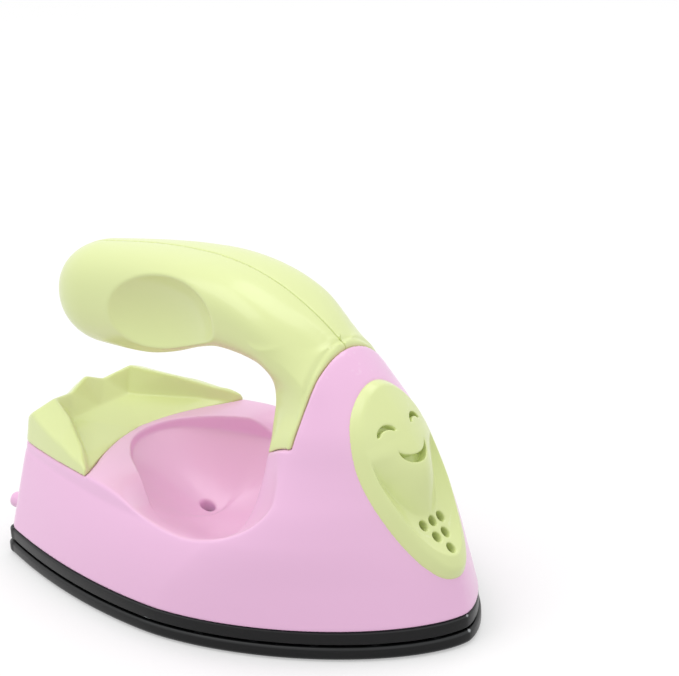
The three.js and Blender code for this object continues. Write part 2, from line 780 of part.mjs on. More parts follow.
// Badge: an egg-shaped patch laid on the slope of the cowl
const badgeSlope = new THREE.Vector3(badgeBottomX - badgeTopX, 0, badgeBottomHeight - badgeTopHeight);
const badgeSpan = badgeSlope.length();
const badgeChinRise = badgeSpan * 0.093;
const badgeHoleRise = badgeSpan * -0.228;
const bibTop = badgeSpan * 0.104;
const bibLength = badgeSpan * 0.49;
const bibHalf = badgeHalfWidth * 0.724;
const bowlLength = badgeSpan * 0.285;
const bowlHalf = badgeHalfWidth * 0.63;
const badgeUp = badgeSlope.clone().normalize().negate();
const badgeOut = new THREE.Vector3(badgeUp.z, 0, -badgeUp.x);
const badgeMiddle = new THREE.Vector3(
  (badgeTopX + badgeBottomX) / 2, 0, (badgeTopHeight + badgeBottomHeight) / 2,
);
const badgeRiseShares = [0.5, 0.479, 0.44, 0.394, 0.342, 0.23, 0.1, 0.03, -0.106, -0.242, -0.376, -0.455,
  -0.5];
const badgeSideShares = [0, 0.375, 0.55, 0.7, 0.81, 0.93, 0.99, 1, 0.94, 0.81, 0.63, 0.42, 0];

// Border point of the badge at a share of its turn, starting at the top
function badgeBorder(share, grow) {
  const count = badgeRiseShares.length;
  const half = share <= 0.5 ? share * 2 : 2 - share * 2;
  const place = half * (count - 1);
  const at = (list) => track(list.map((value, i) => i), list)(place);
  const rise = at(badgeRiseShares) * badgeSpan;
  const side = at(badgeSideShares) * badgeHalfWidth * (share <= 0.5 ? 1 : -1);
  const length = Math.hypot(rise, side);
  return {
    rise: rise * ((length + grow) / length),
    side: side * ((length + grow) / length),
  };
}

// Height of the cowl over the badge's chord plane
function cowlOver(side, rise) {
  const seat = badgeMiddle.clone().addScaledVector(badgeUp, rise);
  let low = -badgeHalfWidth * 1.6;
  let high = badgeHalfWidth;
  for (let i = 0; i < 36; i += 1) {
    const middle = (low + high) / 2;
    const x = seat.x + badgeOut.x * middle;
    const z = seat.z + badgeOut.z * middle;
    const nose = z > apexHeight ? 0 : skinNose(z);
    const inside = z < apexHeight && x < nose && Math.abs(side) < skinHalf(x, Math.max(z, bodyBase));
    if (inside) {
      low = middle;
    } else {
      high = middle;
    }
  }
  return (low + high) / 2;
}

function badgePoint(side, rise, height) {
  const point = badgeMiddle.clone().addScaledVector(badgeUp, rise).addScaledVector(badgeOut, height);
  return [point.x, side, point.z];
}

// Relief over the cowl: a U-shaped bib with a bowl inside it, under the chin
function badgeRelief(share, ring) {
  const border = badgeBorder(share, 0);
  const bibOf = (r) => Math.hypot(
    (border.side * r) / bibHalf,
    Math.max(0, bibTop - border.rise * r) / bibLength,
  );
  const rise = border.rise * ring;
  const side = border.side * ring;
  const bib = bibOf(ring);
  const slope = Math.max(0, (bibOf(1) - bib) / (bibOf(1) - 1));
  const low = ease((bibTop + badgeHoleRow - rise) / badgeHalfWidth);
  const bowl = Math.hypot(side / bowlHalf, Math.max(0, bibTop - rise) / bowlLength);
  const chin = Math.hypot(side / bowlHalf, (rise - badgeChinRise) / bowlHalf);
  const swell = badgeChin * Math.max(0, 1 - chin * chin) ** 1.5;
  return badgeProud * (1 - ring ** 6) + swell
    + low * (badgeBib * Math.min(1, slope) - badgeBowl * Math.max(0, 1 - bowl * bowl));
}

function badgePatch(grow, low, high, turns, rings) {
  const positions = [];
  const index = [];
  const sheet = (level) => {
    const start = positions.length / 3;
    const centre = cowlOver(0, 0);
    positions.push(...badgePoint(0, 0, centre + level(0, 0)));
    for (let j = 1; j <= rings; j += 1) {
      for (let i = 0; i < turns; i += 1) {
        const border = badgeBorder(i / turns, grow);
        const side = (border.side * j) / rings;
        const rise = (border.rise * j) / rings;
        positions.push(...badgePoint(side, rise, cowlOver(side, rise) + level(i / turns, j / rings)));
      }
    }
    return start;
  };
  const bottom = sheet(typeof low === 'function' ? low : () => low);
  const top = sheet(typeof high === 'function' ? high : () => high);
  const spot = (start, j, i) => start + 1 + (j - 1) * turns + (i % turns);
  for (let i = 0; i < turns; i += 1) {
    index.push(top, spot(top, 1, i + 1), spot(top, 1, i));
    index.push(bottom, spot(bottom, 1, i), spot(bottom, 1, i + 1));
    for (let j = 1; j < rings; j += 1) {
      const a = [spot(top, j, i), spot(top, j, i + 1), spot(top, j + 1, i + 1), spot(top, j + 1, i)];
      const b = [
        spot(bottom, j, i), spot(bottom, j, i + 1), spot(bottom, j + 1, i + 1), spot(bottom, j + 1, i),
      ];
      index.push(a[0], a[1], a[2], a[0], a[2], a[3]);
      index.push(b[0], b[2], b[1], b[0], b[3], b[2]);
    }
    const c = [spot(top, rings, i), spot(top, rings, i + 1)];
    const d = [spot(bottom, rings, i), spot(bottom, rings, i + 1)];
    index.push(c[0], c[1], d[1], c[0], d[1], d[0]);
  }
  const geometry = new THREE.BufferGeometry();
  geometry.setAttribute('position', new THREE.Float32BufferAttribute(positions, 3));
  geometry.setIndex(index);
  return solid(geometry);
}

function badgeDrill(column, row) {
  const rise = badgeHoleRise - row * badgeHoleRow;
  const side = column * badgeHolePitch;
  const height = cowlOver(side, rise);
  const geometry = new THREE.CylinderGeometry(badgeHole / 2, badgeHole / 2, badgeThickness * 6, 12);
  const turn = new THREE.Quaternion().setFromUnitVectors(new THREE.Vector3(0, 1, 0), badgeOut);
  geometry.applyQuaternion(turn);
  geometry.translate(...badgePoint(side, rise, height));
  return solid(geometry);
}

// Column and row of each hole, in pitches
const badgeDrillSpots = [[-1, 0], [0, 0], [1, 0], [-0.5, 1], [0.5, 1], [0, 2]];

function frontBadge() {
  let badge = badgePatch(0, -badgeThickness, badgeRelief, 28, 6);
  badgeDrillSpots.forEach((spot) => {
    badge = badge.subtract(badgeDrill(spot[0], spot[1]));
  });
  return badge;
}

// Housing
const innerLevelShares = [0.15, 0.31, 0.4, 0.47, 0.53, 0.6, 0.7, 0.79, 0.86, 0.91, 0.945];

// The curved joint between the deck and the housing, as the block in front of it
const deckJointSideShares = [0, 0.19, 0.36, 0.48, 0.62, 0.74, 0.85, 1.1];
const deckJointPlaceShares = [0.626, 0.608, 0.574, 0.542, 0.496, 0.474, 0.466, 0.462];

function deckOpening(inset, z0, z1) {
  const sides = scaled(deckJointSideShares, soleHalfWidth);
  const places = scaled(deckJointPlaceShares, -soleLength / 2);
  const joint = track(sides, places);
  const steps = 18;
  const line = [];
  for (let i = -steps; i <= steps; i += 1) {
    const y = (i / steps) * soleHalfWidth * 1.1;
    const lean = (joint(Math.abs(y) + seatGap) - joint(Math.abs(y))) / seatGap;
    const stretch = Math.hypot(1, lean);
    line.push([joint(Math.abs(y)) - inset * stretch, y]);
  }
  line.push([soleLength, soleHalfWidth * 1.1]);
  line.push([soleLength, -soleHalfWidth * 1.1]);
  const ring = line.reverse();
  return loft([raise(ring, z0), raise(ring, z1)]);
}

function bodyShell() {
  const outer = skinSolid(0, bodyBase, 11, 7, skinLevelShares).subtract(aboveTop(0, 0, 44, 10));
  const inner = skinSolid(bodyWall, 0, 7, 5, innerLevelShares)
    .subtract(aboveTop(bodyWall, bodyWall, 24, 7))
    .subtract(badgePatch(badgeLedge, -badgeThickness * 2 - seatGap, badgeProud, 20, 2));
  const opening = skinSolid(deckLedge, 0, 6, 5, deckLevelShares)
    .subtract(deckOpening(deckLedge, 0, apexHeight * 1.1))
    .intersect(box(
      -soleLength, 0, -soleHalfWidth, soleHalfWidth, sideEdgeHeight - overrun, apexHeight,
    ));
  const recess = badgePatch(seatGap, -badgeThickness - seatGap, badgeHalfWidth, 32, 2);
  const window = badgePatch(-badgeLedge, -badgeHalfWidth, badgeHalfWidth, 24, 1);
  const mouth = box(
    cowlPlaneX - overrun, cowlPlaneX + cowlLean * 2, -soleHalfWidth, soleHalfWidth,
    seatHeight - seatGap, apexHeight,
  ).subtract(aheadOfSeam(seamGap / 2));
  const bosses = union(
    rod(dishHoleX, 0, postHeight + seatGap, dishBossHeight, postDiameter, 18),
    box(
      rearScrewX - postDiameter / 2, rearScrewX + postDiameter / 2,
      -soleHalfWidth, -rearScrewY + postDiameter / 2,
      postHeight + seatGap, postHeight + bossHeight,
    ),
    box(
      rearScrewX - postDiameter / 2, rearScrewX + postDiameter / 2,
      rearScrewY - postDiameter / 2, soleHalfWidth,
      postHeight + seatGap, postHeight + bossHeight,
    ),
    box(
      noseScrewX - postDiameter / 2, soleLength / 2, -postDiameter / 2, postDiameter / 2,
      postHeight + seatGap, postHeight + bossHeight,
    ),
  )
    .intersect(skinSolid(bodyWall / 2, 0, 6, 5, innerLevelShares))
    .subtract(aboveTop(bodyWall / 2, 0, 24, 6));
  const tenonHole = box(
    tenonRearX - seatGap, neckFrontX, -tenonHalfWidth - seatGap, tenonHalfWidth + seatGap,
    sideEdgeHeight, apexHeight,
  );
  const pegs = [-pegSpread, pegSpread].map((y) => {
    const geometry = new THREE.CylinderGeometry(pegDiameter / 2, pegDiameter / 2, pegReach + bodyWall, 16);
    geometry.rotateZ(Math.PI / 2);
    geometry.translate(bodyRearX + bodyWall - (pegReach + bodyWall) / 2, y, pegHeight);
    return solid(geometry);
  });
  return union(outer.subtract(inner), bosses, ...pegs)
    .subtract(recess)
    .subtract(window)
    .subtract(opening)
    .subtract(mouth)
    .subtract(tenonHole)
    .subtract(rod(dishHoleX, 0, dishHoleFloor, apexHeight, dishHole))
    .subtract(rod(dishHoleX, 0, 0, apexHeight, screwShank + screwSlack))
    .subtract(rod(rearScrewX, -rearScrewY, 0, sideEdgeHeight, screwShank + screwSlack))
    .subtract(rod(rearScrewX, rearScrewY, 0, sideEdgeHeight, screwShank + screwSlack))
    .subtract(rod(noseScrewX, 0, 0, sideEdgeHeight, screwShank + screwSlack));
}

const dishFloor = topLevel(dishHoleX, 0, 0, 0);
const dishHoleFloor = dishFloor - dishScrewDrop - screwHeadHeight;

// Rear deck: flat faces between ridges, mirrored about the middle; shares of the sole's half-length,
// the sole's half-width and the deck's peak height
const deckLineShares = {
  frontMiddle: [-0.4, 0, 0.601],
  arcMiddle: [-0.626, 0, 0.732],
  footMiddle: [-0.846, 0, 0.811],
  footSide: [-0.846, 0.256, 0.811],
  footFront: [-0.59, 0.54, 0.77],
  footTip: [-0.4, 0.76, 0.7],
  crest: [-0.912, 0, 1],
  dip: [-0.904, 0.128, 0.937],
  horn: [-0.866, 0.276, 0.997],
  ridgeRear: [-0.72, 0.446, 0.921],
  ridgeFront: [-0.56, 0.59, 0.839],
  ridgeTip: [-0.4, 0.8, 0.722],
  rearMiddle: [-1.03, 0, 0.778],
  rearDip: [-1.03, 0.128, 0.765],
  rearCorner: [-1.03, 0.446, 0.788],
  rearOut: [-1.03, 0.9, 0.72],
  sideRear: [-0.72, 0.9, 0.706],
  sideFront: [-0.56, 0.95, 0.7],
  sideTip: [-0.4, 1.05, 0.68],
};
const deckFaces = [
  ['frontMiddle', 'footTip', 'footFront', 'arcMiddle'],
  ['arcMiddle', 'footFront', 'footSide', 'footMiddle'],
  ['footMiddle', 'footSide', 'dip', 'crest'],
  ['footSide', 'horn', 'dip'],
  ['footSide', 'footFront', 'ridgeRear', 'horn'],
  ['footFront', 'ridgeFront', 'ridgeRear'],
  ['footFront', 'footTip', 'ridgeTip', 'ridgeFront'],
  ['crest', 'dip', 'rearDip', 'rearMiddle'],
  ['dip', 'horn', 'rearCorner', 'rearDip'],
  ['horn', 'ridgeRear', 'sideRear', 'rearOut'],
  ['horn', 'rearOut', 'rearCorner'],
  ['ridgeRear', 'ridgeFront', 'sideFront', 'sideRear'],
  ['ridgeFront', 'ridgeTip', 'sideTip', 'sideFront'],
];
const deckEdge = ['frontMiddle', 'footTip', 'ridgeTip', 'sideTip', 'sideFront', 'sideRear', 'rearOut',
  'rearCorner', 'rearDip', 'rearMiddle'];

function deckBlock(drop) {
  const positions = [];
  const index = [];
  const place = (name, side, floor) => {
    const share = deckLineShares[name];
    const x = share[0] * (soleLength / 2);
    const y = share[1] * soleHalfWidth * side;
    positions.push(x, y, floor ? deckRearHeight / 2 : share[2] * deckPeak - drop);
    return positions.length / 3 - 1;
  };
  [1, -1].forEach((side) => {
    deckFaces.forEach((face) => {
      const spots = face.map((name) => place(name, side, false));
      for (let i = 1; i < spots.length - 1; i += 1) {
        if (side > 0) {
          index.push(spots[0], spots[i], spots[i + 1]);
        } else {
          index.push(spots[0], spots[i + 1], spots[i]);
        }
      }
    });
    const middle = place('footMiddle', side, true);
    for (let i = 0; i < deckEdge.length - 1; i += 1) {
      const a = place(deckEdge[i], side, false);
      const b = place(deckEdge[i + 1], side, false);
      const c = place(deckEdge[i + 1], side, true);
      const d = place(deckEdge[i], side, true);
      if (side > 0) {
        index.push(a, d, c, a, c, b, middle, c, d);
      } else {
        index.push(a, c, d, a, b, c, middle, d, c);
      }
    }
  });
  const geometry = new THREE.BufferGeometry();
  geometry.setAttribute('position', new THREE.Float32BufferAttribute(positions, 3));
  geometry.setIndex(index);
  return solid(geometry);
}

const deckLevelShares = [0.2, 0.3853, 0.46, 0.52, 0.6];

function rearDeck() {
  const slab = skinSolid(0, deckRearHeight / 2, 11, 8, deckLevelShares)
    .subtract(deckOpening(seatGap, 0, apexHeight * 1.1))
    .intersect(box(-soleLength, 0, -soleHalfWidth, soleHalfWidth, 0, apexHeight));
  const seat = box(-soleLength, 0, -soleHalfWidth, soleHalfWidth, 0, sideEdgeHeight)
    .add(aboveSeat());
  const shell = deckBlock(0).intersect(slab).subtract(seat);
  const core = skinSolid(deckLedge + seatGap + deckWall, 0, 6, 6, deckLevelShares)
    .subtract(deckOpening(deckLedge + seatGap + deckWall, 0, apexHeight * 1.1))
    .intersect(box(-soleLength, 0, -soleHalfWidth, soleHalfWidth, 0, apexHeight));
  const lip = skinSolid(deckLedge + seatGap, sideEdgeHeight, 6, 6, deckLevelShares.slice(2))
    .subtract(deckOpening(deckLedge + seatGap, 0, apexHeight * 1.1))
    .intersect(box(
      -soleLength, 0, -soleHalfWidth, soleHalfWidth, 0, deckRearHeight + deckLip,
    ));
  return shell.add(lip.intersect(deckBlock(0))).subtract(core.intersect(deckBlock(deckWall)));
}

// The pink ledge under the deck with a fitting gap over it
function aboveSeat() {
  const whole = box(
    -soleLength, 0, -soleHalfWidth * 1.1, soleHalfWidth * 1.1, deckRearHeight / 2, apexHeight,
  );
  const rings = [];
  const steps = 8;
  for (let i = 0; i <= steps; i += 1) {
    const x = mix(-soleLength * 0.55, 0, i / steps);
    const ring = [];
    for (let k = 0; k <= 8; k += 1) {
      const y = mix(-soleHalfWidth, soleHalfWidth, k / 8);
      ring.push([x, y, edgeLevel(x) + bodyCrown * (1 - (y / soleHalfWidth) ** 2) + seatGap]);
    }
    ring.push([x, soleHalfWidth, 0]);
    ring.push([x, -soleHalfWidth, 0]);
    rings.push(ring.reverse());
  }
  const foot = box(-soleLength, 0, -soleHalfWidth, soleHalfWidth, 0, deckRearHeight);
  return loft(rings).intersect(whole.add(foot));
}

// Soleplate with its screw posts
const screwSpots = [
  [dishHoleX, 0],
  [rearScrewX, -rearScrewY],
  [rearScrewX, rearScrewY],
  [noseScrewX, 0],
];

function soleplate() {
  const rings = [
    raise(offsetRing(soleRing, soleEdgeInset), 0),
    raise(offsetRing(soleRing, soleEdgeInset * 0.2), soleEdgeRise),
    raise(soleRing, soleShoulder),
    raise(offsetRing(soleRing, soleShoulderInset), soleThickness),
  ];
  let plate = loft(rings);
  const bore = screwShank + screwSlack;
  screwSpots.forEach(([x, y]) => {
    plate = plate.add(rod(x, y, soleThickness / 2, postHeight, postDiameter, 14));
    plate = plate.subtract(rod(x, y, soleThickness * 0.8, apexHeight, bore, 12));
  });
  return plate;
}

function heatShield() {
  const ring = offsetRing(soleRing, shieldInset);
  const hole = offsetRing(soleRing, shieldInset + shieldRim);
  let shield = loft([raise(ring, shieldBase), raise(ring, shieldTop)])
    .subtract(loft([raise(hole, 0), raise(hole, apexHeight)]));
  const reach = offsetRing(soleRing, shieldInset + shieldTabReach);
  const tabLine = new THREE.CatmullRomCurve3(reach.map((p) => new THREE.Vector3(p[0], p[1], 0)), true);
  const count = Math.round(tabLine.getLength() / shieldTabPitch);
  for (let i = 0; i < count; i += 1) {
    const spot = tabLine.getPointAt((i + 0.5) / count);
    const along = tabLine.getTangentAt((i + 0.5) / count);
    const tab = new THREE.BoxGeometry(shieldTabWidth, shieldTabDepth, shieldGroove);
    tab.translate(0, shieldTabDepth / 2, soleThickness + shieldTabReach + shieldGroove / 2);
    tab.rotateZ(Math.atan2(along.y, along.x));
    tab.translate(spot.x, spot.y, 0);
    shield = shield.add(solid(tab));
  }
  return shield;
}

// Screws that stand in the posts, heads uppermost
function sinkScrew([x, y], seat) {
  const tip = soleThickness * 0.8 + seatGap;
  const head = rod(x, y, seat, seat + screwHeadHeight, screwHead, 16);
  return head.add(rod(x, y, tip, seat + screwHeadHeight / 2, screwShank, 12));
}

// Heater, its clamps and the electrical parts
const heaterLevel = soleThickness + seatGap * 2 + heaterDiameter / 2;

function heater() {
  const bend = heaterHalfWidth * 0.9;
  return tube([
    [heaterRearX, heaterHalfWidth * 0.55, heaterLevel + heaterDiameter * 0.6],
    [heaterRearX + heaterDiameter, heaterHalfWidth * 0.75, heaterLevel],
    [heaterRearX + heaterDiameter * 3, heaterHalfWidth, heaterLevel],
    [clampX, heaterHalfWidth * 1.1, heaterLevel],
    [heaterFrontX - bend, heaterHalfWidth * 0.98, heaterLevel],
    [heaterFrontX, 0, heaterLevel],
    [heaterFrontX - bend, -heaterHalfWidth * 0.98, heaterLevel],
    [clampX, -heaterHalfWidth * 1.1, heaterLevel],
    [heaterRearX + heaterDiameter * 3, -heaterHalfWidth, heaterLevel],
    [heaterRearX + heaterDiameter, -heaterHalfWidth * 0.75, heaterLevel],
    [heaterRearX, -heaterHalfWidth * 0.55, heaterLevel + heaterDiameter * 0.6],
  ], heaterDiameter, 27, 5);
}

function clamp(side) {
  const inside = heaterDiameter / 2 + seatGap;
  const y = heaterHalfWidth * 1.1 * side;
  const arch = new THREE.Shape();
  arch.moveTo(-inside - clampThickness - clampFoot, soleThickness + seatGap);
  arch.lineTo(-inside, soleThickness + seatGap);
  arch.lineTo(-inside, heaterLevel);
  for (let i = 1; i < 8; i += 1) {
    const turn = Math.PI * (1 - i / 8);
    arch.lineTo(inside * Math.cos(turn), heaterLevel + inside * Math.sin(turn));
  }
  arch.lineTo(inside, heaterLevel);
  arch.lineTo(inside, soleThickness + seatGap);
  arch.lineTo(inside + clampThickness, soleThickness + seatGap);
  for (let i = 0; i <= 8; i += 1) {
    const turn = (Math.PI * i) / 8;
    const reach = inside + clampThickness;
    arch.lineTo(reach * Math.cos(turn), heaterLevel + reach * Math.sin(turn));
  }
  arch.lineTo(-inside - clampThickness, soleThickness + seatGap + clampThickness);
  arch.lineTo(-inside - clampThickness - clampFoot, soleThickness + seatGap + clampThickness);
  arch.closePath();
  const geometry = new THREE.ExtrudeGeometry(arch, { depth: clampWidth, bevelEnabled: false });
  geometry.rotateX(Math.PI / 2);
  geometry.rotateZ(Math.PI / 2);
  geometry.translate(clampX - clampWidth / 2, 0, 0);
  const bracket = solid(geometry);
  return (side < 0 ? bracket.mirror([0, 1, 0]) : bracket).translate([0, y, 0]);
}

function thermostat() {
  const base = soleThickness + seatGap;
  const can = rod(thermostatX, 0, base, base + thermostatHeight, thermostatDiameter, 28);
  const tabY = thermostatDiameter * 0.3;
  const tabs = [-tabY, tabY].map((y) => box(
    thermostatX - clampThickness * 2, thermostatX + clampThickness * 2,
    y - clampThickness / 2, y + clampThickness / 2,
    base + thermostatHeight / 2, base + thermostatHeight + clampFoot / 2,
  ));
  return union(can, ...tabs);
}

function thermalFuse() {
  const z = heaterLevel + seatGap;
  const body = new THREE.CylinderGeometry(fuseDiameter / 2, fuseDiameter / 2, fuseLength, 16);
  body.translate(fuseX, 0, z);
  const lead = new THREE.CylinderGeometry(wireDiameter / 3, wireDiameter / 3, fuseLength * 1.7, 8);
  lead.translate(fuseX, 0, z);
  return solid(body).add(solid(lead));
}

function fuseClip() {
  const z = heaterLevel + seatGap;
  const inside = fuseDiameter / 2 + seatGap;
  const low = soleThickness + seatGap;
  const wide = box(
    fuseX - inside - clampThickness, fuseX + inside + clampThickness, -clampFoot / 2, clampFoot / 2,
    low, z + fuseDiameter * 0.3,
  );
  const gap = box(fuseX - inside, fuseX + inside, -clampFoot, clampFoot, z, apexHeight);
  const seat = new THREE.CylinderGeometry(inside, inside, clampFoot * 2, 20);
  seat.translate(fuseX, 0, z);
  return wide.subtract(gap).subtract(solid(seat));
}

const blockY = blockWidth / 4;

function terminalBlock() {
  let block = box(
    blockX - blockLength / 2, blockX + blockLength / 2, -blockWidth / 2, blockWidth / 2,
    blockBase, blockBase + blockHeight,
  );
  [-blockY, blockY].forEach((y) => {
    const bore = new THREE.CylinderGeometry(
      wireDiameter / 2 + seatGap, wireDiameter / 2 + seatGap, blockLength * 2, 12,
    );
    bore.rotateZ(Math.PI / 2);
    bore.translate(blockX, y, blockBase + blockHeight / 2);
    block = block.subtract(solid(bore));
    [-1, 1].forEach((end) => {
      const x = blockX + (end * blockLength) / 4;
      block = block.subtract(rod(x, y, blockBase + blockHeight / 2, apexHeight, screwHead, 10));
    });
  });
  return block;
}

function blockBracket() {
  const low = blockBase - seatGap;
  const high = blockBase - seatGap - clampThickness;
  const shelf = box(
    blockX - blockLength / 2, blockX + blockLength / 2, -blockWidth / 2, blockWidth / 2, high, low,
  );
  const foot = box(
    blockX - blockLength / 2, blockX + blockLength / 2, -blockWidth / 2, -blockWidth / 2 + clampThickness,
    soleThickness + seatGap, low,
  );
  const otherFoot = box(
    blockX - blockLength / 2, blockX + blockLength / 2, blockWidth / 2 - clampThickness, blockWidth / 2,
    soleThickness + seatGap, low,
  );
  return union(shelf, foot, otherFoot);
}

function wire(side) {
  const z = blockBase + blockHeight / 2;
  const y = side * blockY;
  const endX = thermostatX - thermostatDiameter * 0.47;
  return tube([
    [blockX - blockLength * 0.3, y, z],
    [blockX, y, z],
    [blockX + blockLength * 0.3, y, z],
    [blockX + blockLength * 0.7, y, z],
    [blockX + blockLength, y + side * wireDiameter, z - blockHeight * 0.4],
    [mix(blockX, endX, 0.45), side * (postDiameter + wireDiameter), heaterLevel],
    [mix(blockX, endX, 0.75), side * (postDiameter + wireDiameter), heaterLevel],
    [endX, side * thermostatDiameter * 0.3, heaterLevel + seatGap],
  ], wireDiameter, 16, 3);
}

// Colours and the finished group
const pink = new THREE.MeshStandardMaterial({ color: 0xf4c4e6, roughness: 0.35 });
const green = new THREE.MeshStandardMaterial({ color: 0xd9e69a, roughness: 0.35 });
const black = new THREE.MeshStandardMaterial({ color: 0x26292a, roughness: 0.45 });
const steel = new THREE.MeshStandardMaterial({ color: 0xb8bcc0, roughness: 0.35, metalness: 1 });
const ceramic = new THREE.MeshStandardMaterial({ color: 0xe8e4da, roughness: 0.6 });
const brass = new THREE.MeshStandardMaterial({ color: 0xc8a860, roughness: 0.35, metalness: 1 });
const sleeve = new THREE.MeshStandardMaterial({ color: 0xe6e6e2, roughness: 0.6 });

function node(name, shape, material) {
  const mesh = shape.getMesh();
  const geometry = new THREE.BufferGeometry();
  geometry.setAttribute('position', new THREE.Float32BufferAttribute(mesh.vertProperties, 3));
  geometry.setIndex(Array.from(mesh.triVerts));
  geometry.computeVertexNormals();
  const part = new THREE.Mesh(geometry, material.clone());
  part.name = name;
  return part;
}

const iron = new THREE.Group();
iron.name = 'mini_craft_iron';
const flangeTop = postHeight + bossHeight + seatGap;
iron.add(
  node('soleplate', soleplate(), black),
  node('heat_shield', heatShield(), black),
  node('body_shell', bodyShell(), pink),
  node('rear_deck', rearDeck(), green),
  node('front_badge', frontBadge(), green),
  node('handle_left', handleHalf(1), green),
  node('handle_right', handleHalf(-1), green),
  node('handle_screw_rear', handleScrew(handleScrews[0]), steel),
  node('handle_screw_front', handleScrew(handleScrews[1]), steel),
  node('dish_screw', sinkScrew(screwSpots[0], dishHoleFloor + seatGap / 2), steel),
  node('sole_screw_right', sinkScrew(screwSpots[1], flangeTop), steel),
  node('sole_screw_left', sinkScrew(screwSpots[2], flangeTop), steel),
  node('sole_screw_nose', sinkScrew(screwSpots[3], flangeTop), steel),
  node('heater_element', heater(), steel),
  node('heater_clamp_left', clamp(1), steel),
  node('heater_clamp_right', clamp(-1), steel),
  node('thermostat', thermostat(), brass),
  node('thermal_fuse', thermalFuse(), steel),
  node('fuse_clip', fuseClip(), steel),
  node('terminal_block', terminalBlock(), ceramic),
  node('terminal_bracket', blockBracket(), steel),
  node('wire_left', wire(1), sleeve),
  node('wire_right', wire(-1), sleeve),
);

export default iron;
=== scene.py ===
import math
import bpy
import numpy as np
from mathutils import Matrix, Vector

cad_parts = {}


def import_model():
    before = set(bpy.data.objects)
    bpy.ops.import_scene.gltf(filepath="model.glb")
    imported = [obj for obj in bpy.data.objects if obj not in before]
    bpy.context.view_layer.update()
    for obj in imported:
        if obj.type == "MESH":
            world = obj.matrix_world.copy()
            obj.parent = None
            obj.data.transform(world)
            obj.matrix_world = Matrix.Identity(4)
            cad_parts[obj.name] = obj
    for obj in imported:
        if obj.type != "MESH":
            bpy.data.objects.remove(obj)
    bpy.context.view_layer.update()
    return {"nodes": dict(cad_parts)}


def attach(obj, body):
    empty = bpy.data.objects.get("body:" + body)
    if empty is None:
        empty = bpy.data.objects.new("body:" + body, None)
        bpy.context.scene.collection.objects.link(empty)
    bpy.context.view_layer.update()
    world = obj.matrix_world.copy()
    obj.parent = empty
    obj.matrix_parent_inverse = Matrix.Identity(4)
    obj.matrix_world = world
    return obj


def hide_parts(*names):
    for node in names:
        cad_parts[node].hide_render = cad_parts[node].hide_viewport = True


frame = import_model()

# The dressed mini craft iron. All sizes below are the CAD's own, in millimetres; meshes are written in metres.
# The moulded pieces are signed fields on a grid, turned into smooth skins.

MM = 0.001
STEP = 0.36

# Sizes shared with the CAD source
SOLE_LENGTH = 100.0
SOLE_HALF = 31.2        # half-width where the sole is widest
SOLE_WIDEST = -2.0      # and where that is
TRANSOM_HALF = 21.3     # half-width of the square rear end
CORNER = 2.2            # rounding of the sole's rear corners
BODY_BASE = 5.7         # lower edge of the housing
SIDE_Z = 20.5           # where the sides turn in towards the cowl
REAR_TOP = 22.0         # upper end of the leaning rear face
REAR_X = -49.4
REAR_HALF = 15.2
REAR_ROUND = 3.4        # rounding of the housing's rear corners
INSET = 0.4             # how far the housing stands in from the sole's edge
WALL = 1.8
APEX = 53.2             # top of the cowl
COWL_X = 23.0           # seam between handle and cowl
LEAN = 1.2              # how far the seam leans forward at the apex
NECK_X = 10.2           # rear of the handle's foot
NECK_CORNER = 12.9
NECK_REAR_HALF = 9.2
NECK_FRONT_HALF = 15.8
SEAT_Z = 37.3           # front end of the handle's seat
SEAT_FALL = 8.14
TAIL_X = -47.5          # free end of the handle
TAIL_ROUND = 12.0
GAP = 0.2               # joint between two pieces
SIDE_BEND = 1.88        # how the outline curves from its widest place to the rear, at the sole
HIGH_BEND = 2.1         # and where the sides end
NOSE_BEND, FLANK_BEND = 1.75, 1.6    # powers of the sole's outline ahead of its widest place


def ease(t):
    t = np.clip(t, 0, 1)
    return t * t * (3 - 2 * t)


def mix(a, b, t):
    return a + (b - a) * t


def smax(a, b, k):
    return np.maximum(a, b) + np.maximum(k - np.abs(a - b), 0) ** 2 / (4 * k)


def smin(a, b, k):
    return -smax(-a, -b, k)


def track(places, values, soft=0.0, hold=False):
    """A curve through a table with no overshoot, softened over a length, as a function of place."""
    p = np.asarray(places, float)
    v = np.asarray(values, float)
    cut = np.diff(v) / np.diff(p)
    slope = np.zeros(len(p))
    slope[0], slope[-1] = cut[0], cut[-1]
    for i in range(1, len(p) - 1):
        if cut[i - 1] * cut[i] > 0:
            slope[i] = 2 * cut[i - 1] * cut[i] / (cut[i - 1] + cut[i])
    pitch = (p[-1] - p[0]) / 1200
    margin = max(4 * soft, 4 * pitch)
    g = np.arange(p[0] - margin, p[-1] + margin, pitch)
    i = np.clip(np.searchsorted(p, g) - 1, 0, len(p) - 2)
    span = p[i + 1] - p[i]
    t = np.clip((g - p[i]) / span, 0, 1)
    out = (v[i] * (1 + 2 * t) * (1 - t) ** 2 + v[i + 1] * t * t * (3 - 2 * t)
           + slope[i] * t * (1 - t) ** 2 * span + slope[i + 1] * t * t * (t - 1) * span)
    if not hold:
        out = out + np.minimum(g - p[0], 0) * cut[0] + np.maximum(g - p[-1], 0) * cut[-1]
    if soft > 0:
        n = int(3 * soft / pitch)
        w = np.exp(-0.5 * (np.arange(-n, n + 1) * pitch / soft) ** 2)
        w /= w.sum()
        left = out[0] + (out[1] - out[0]) * np.arange(-n, 0)
        right = out[-1] + (out[-1] - out[-2]) * np.arange(1, n + 1)
        out = np.convolve(np.concatenate([left, out, right]), w, "valid")
    return lambda q: np.interp(q, g, out)


# Skins from signed fields


def axes(lo, hi, h):
    return [np.arange(a, b + h, h) for a, b in zip(lo, hi)]


def unit(f, h):
    gx, gy, gz = np.gradient(f, h)
    return (f / np.sqrt(gx * gx + gy * gy + gz * gz + 1e-6)).astype(np.float32)


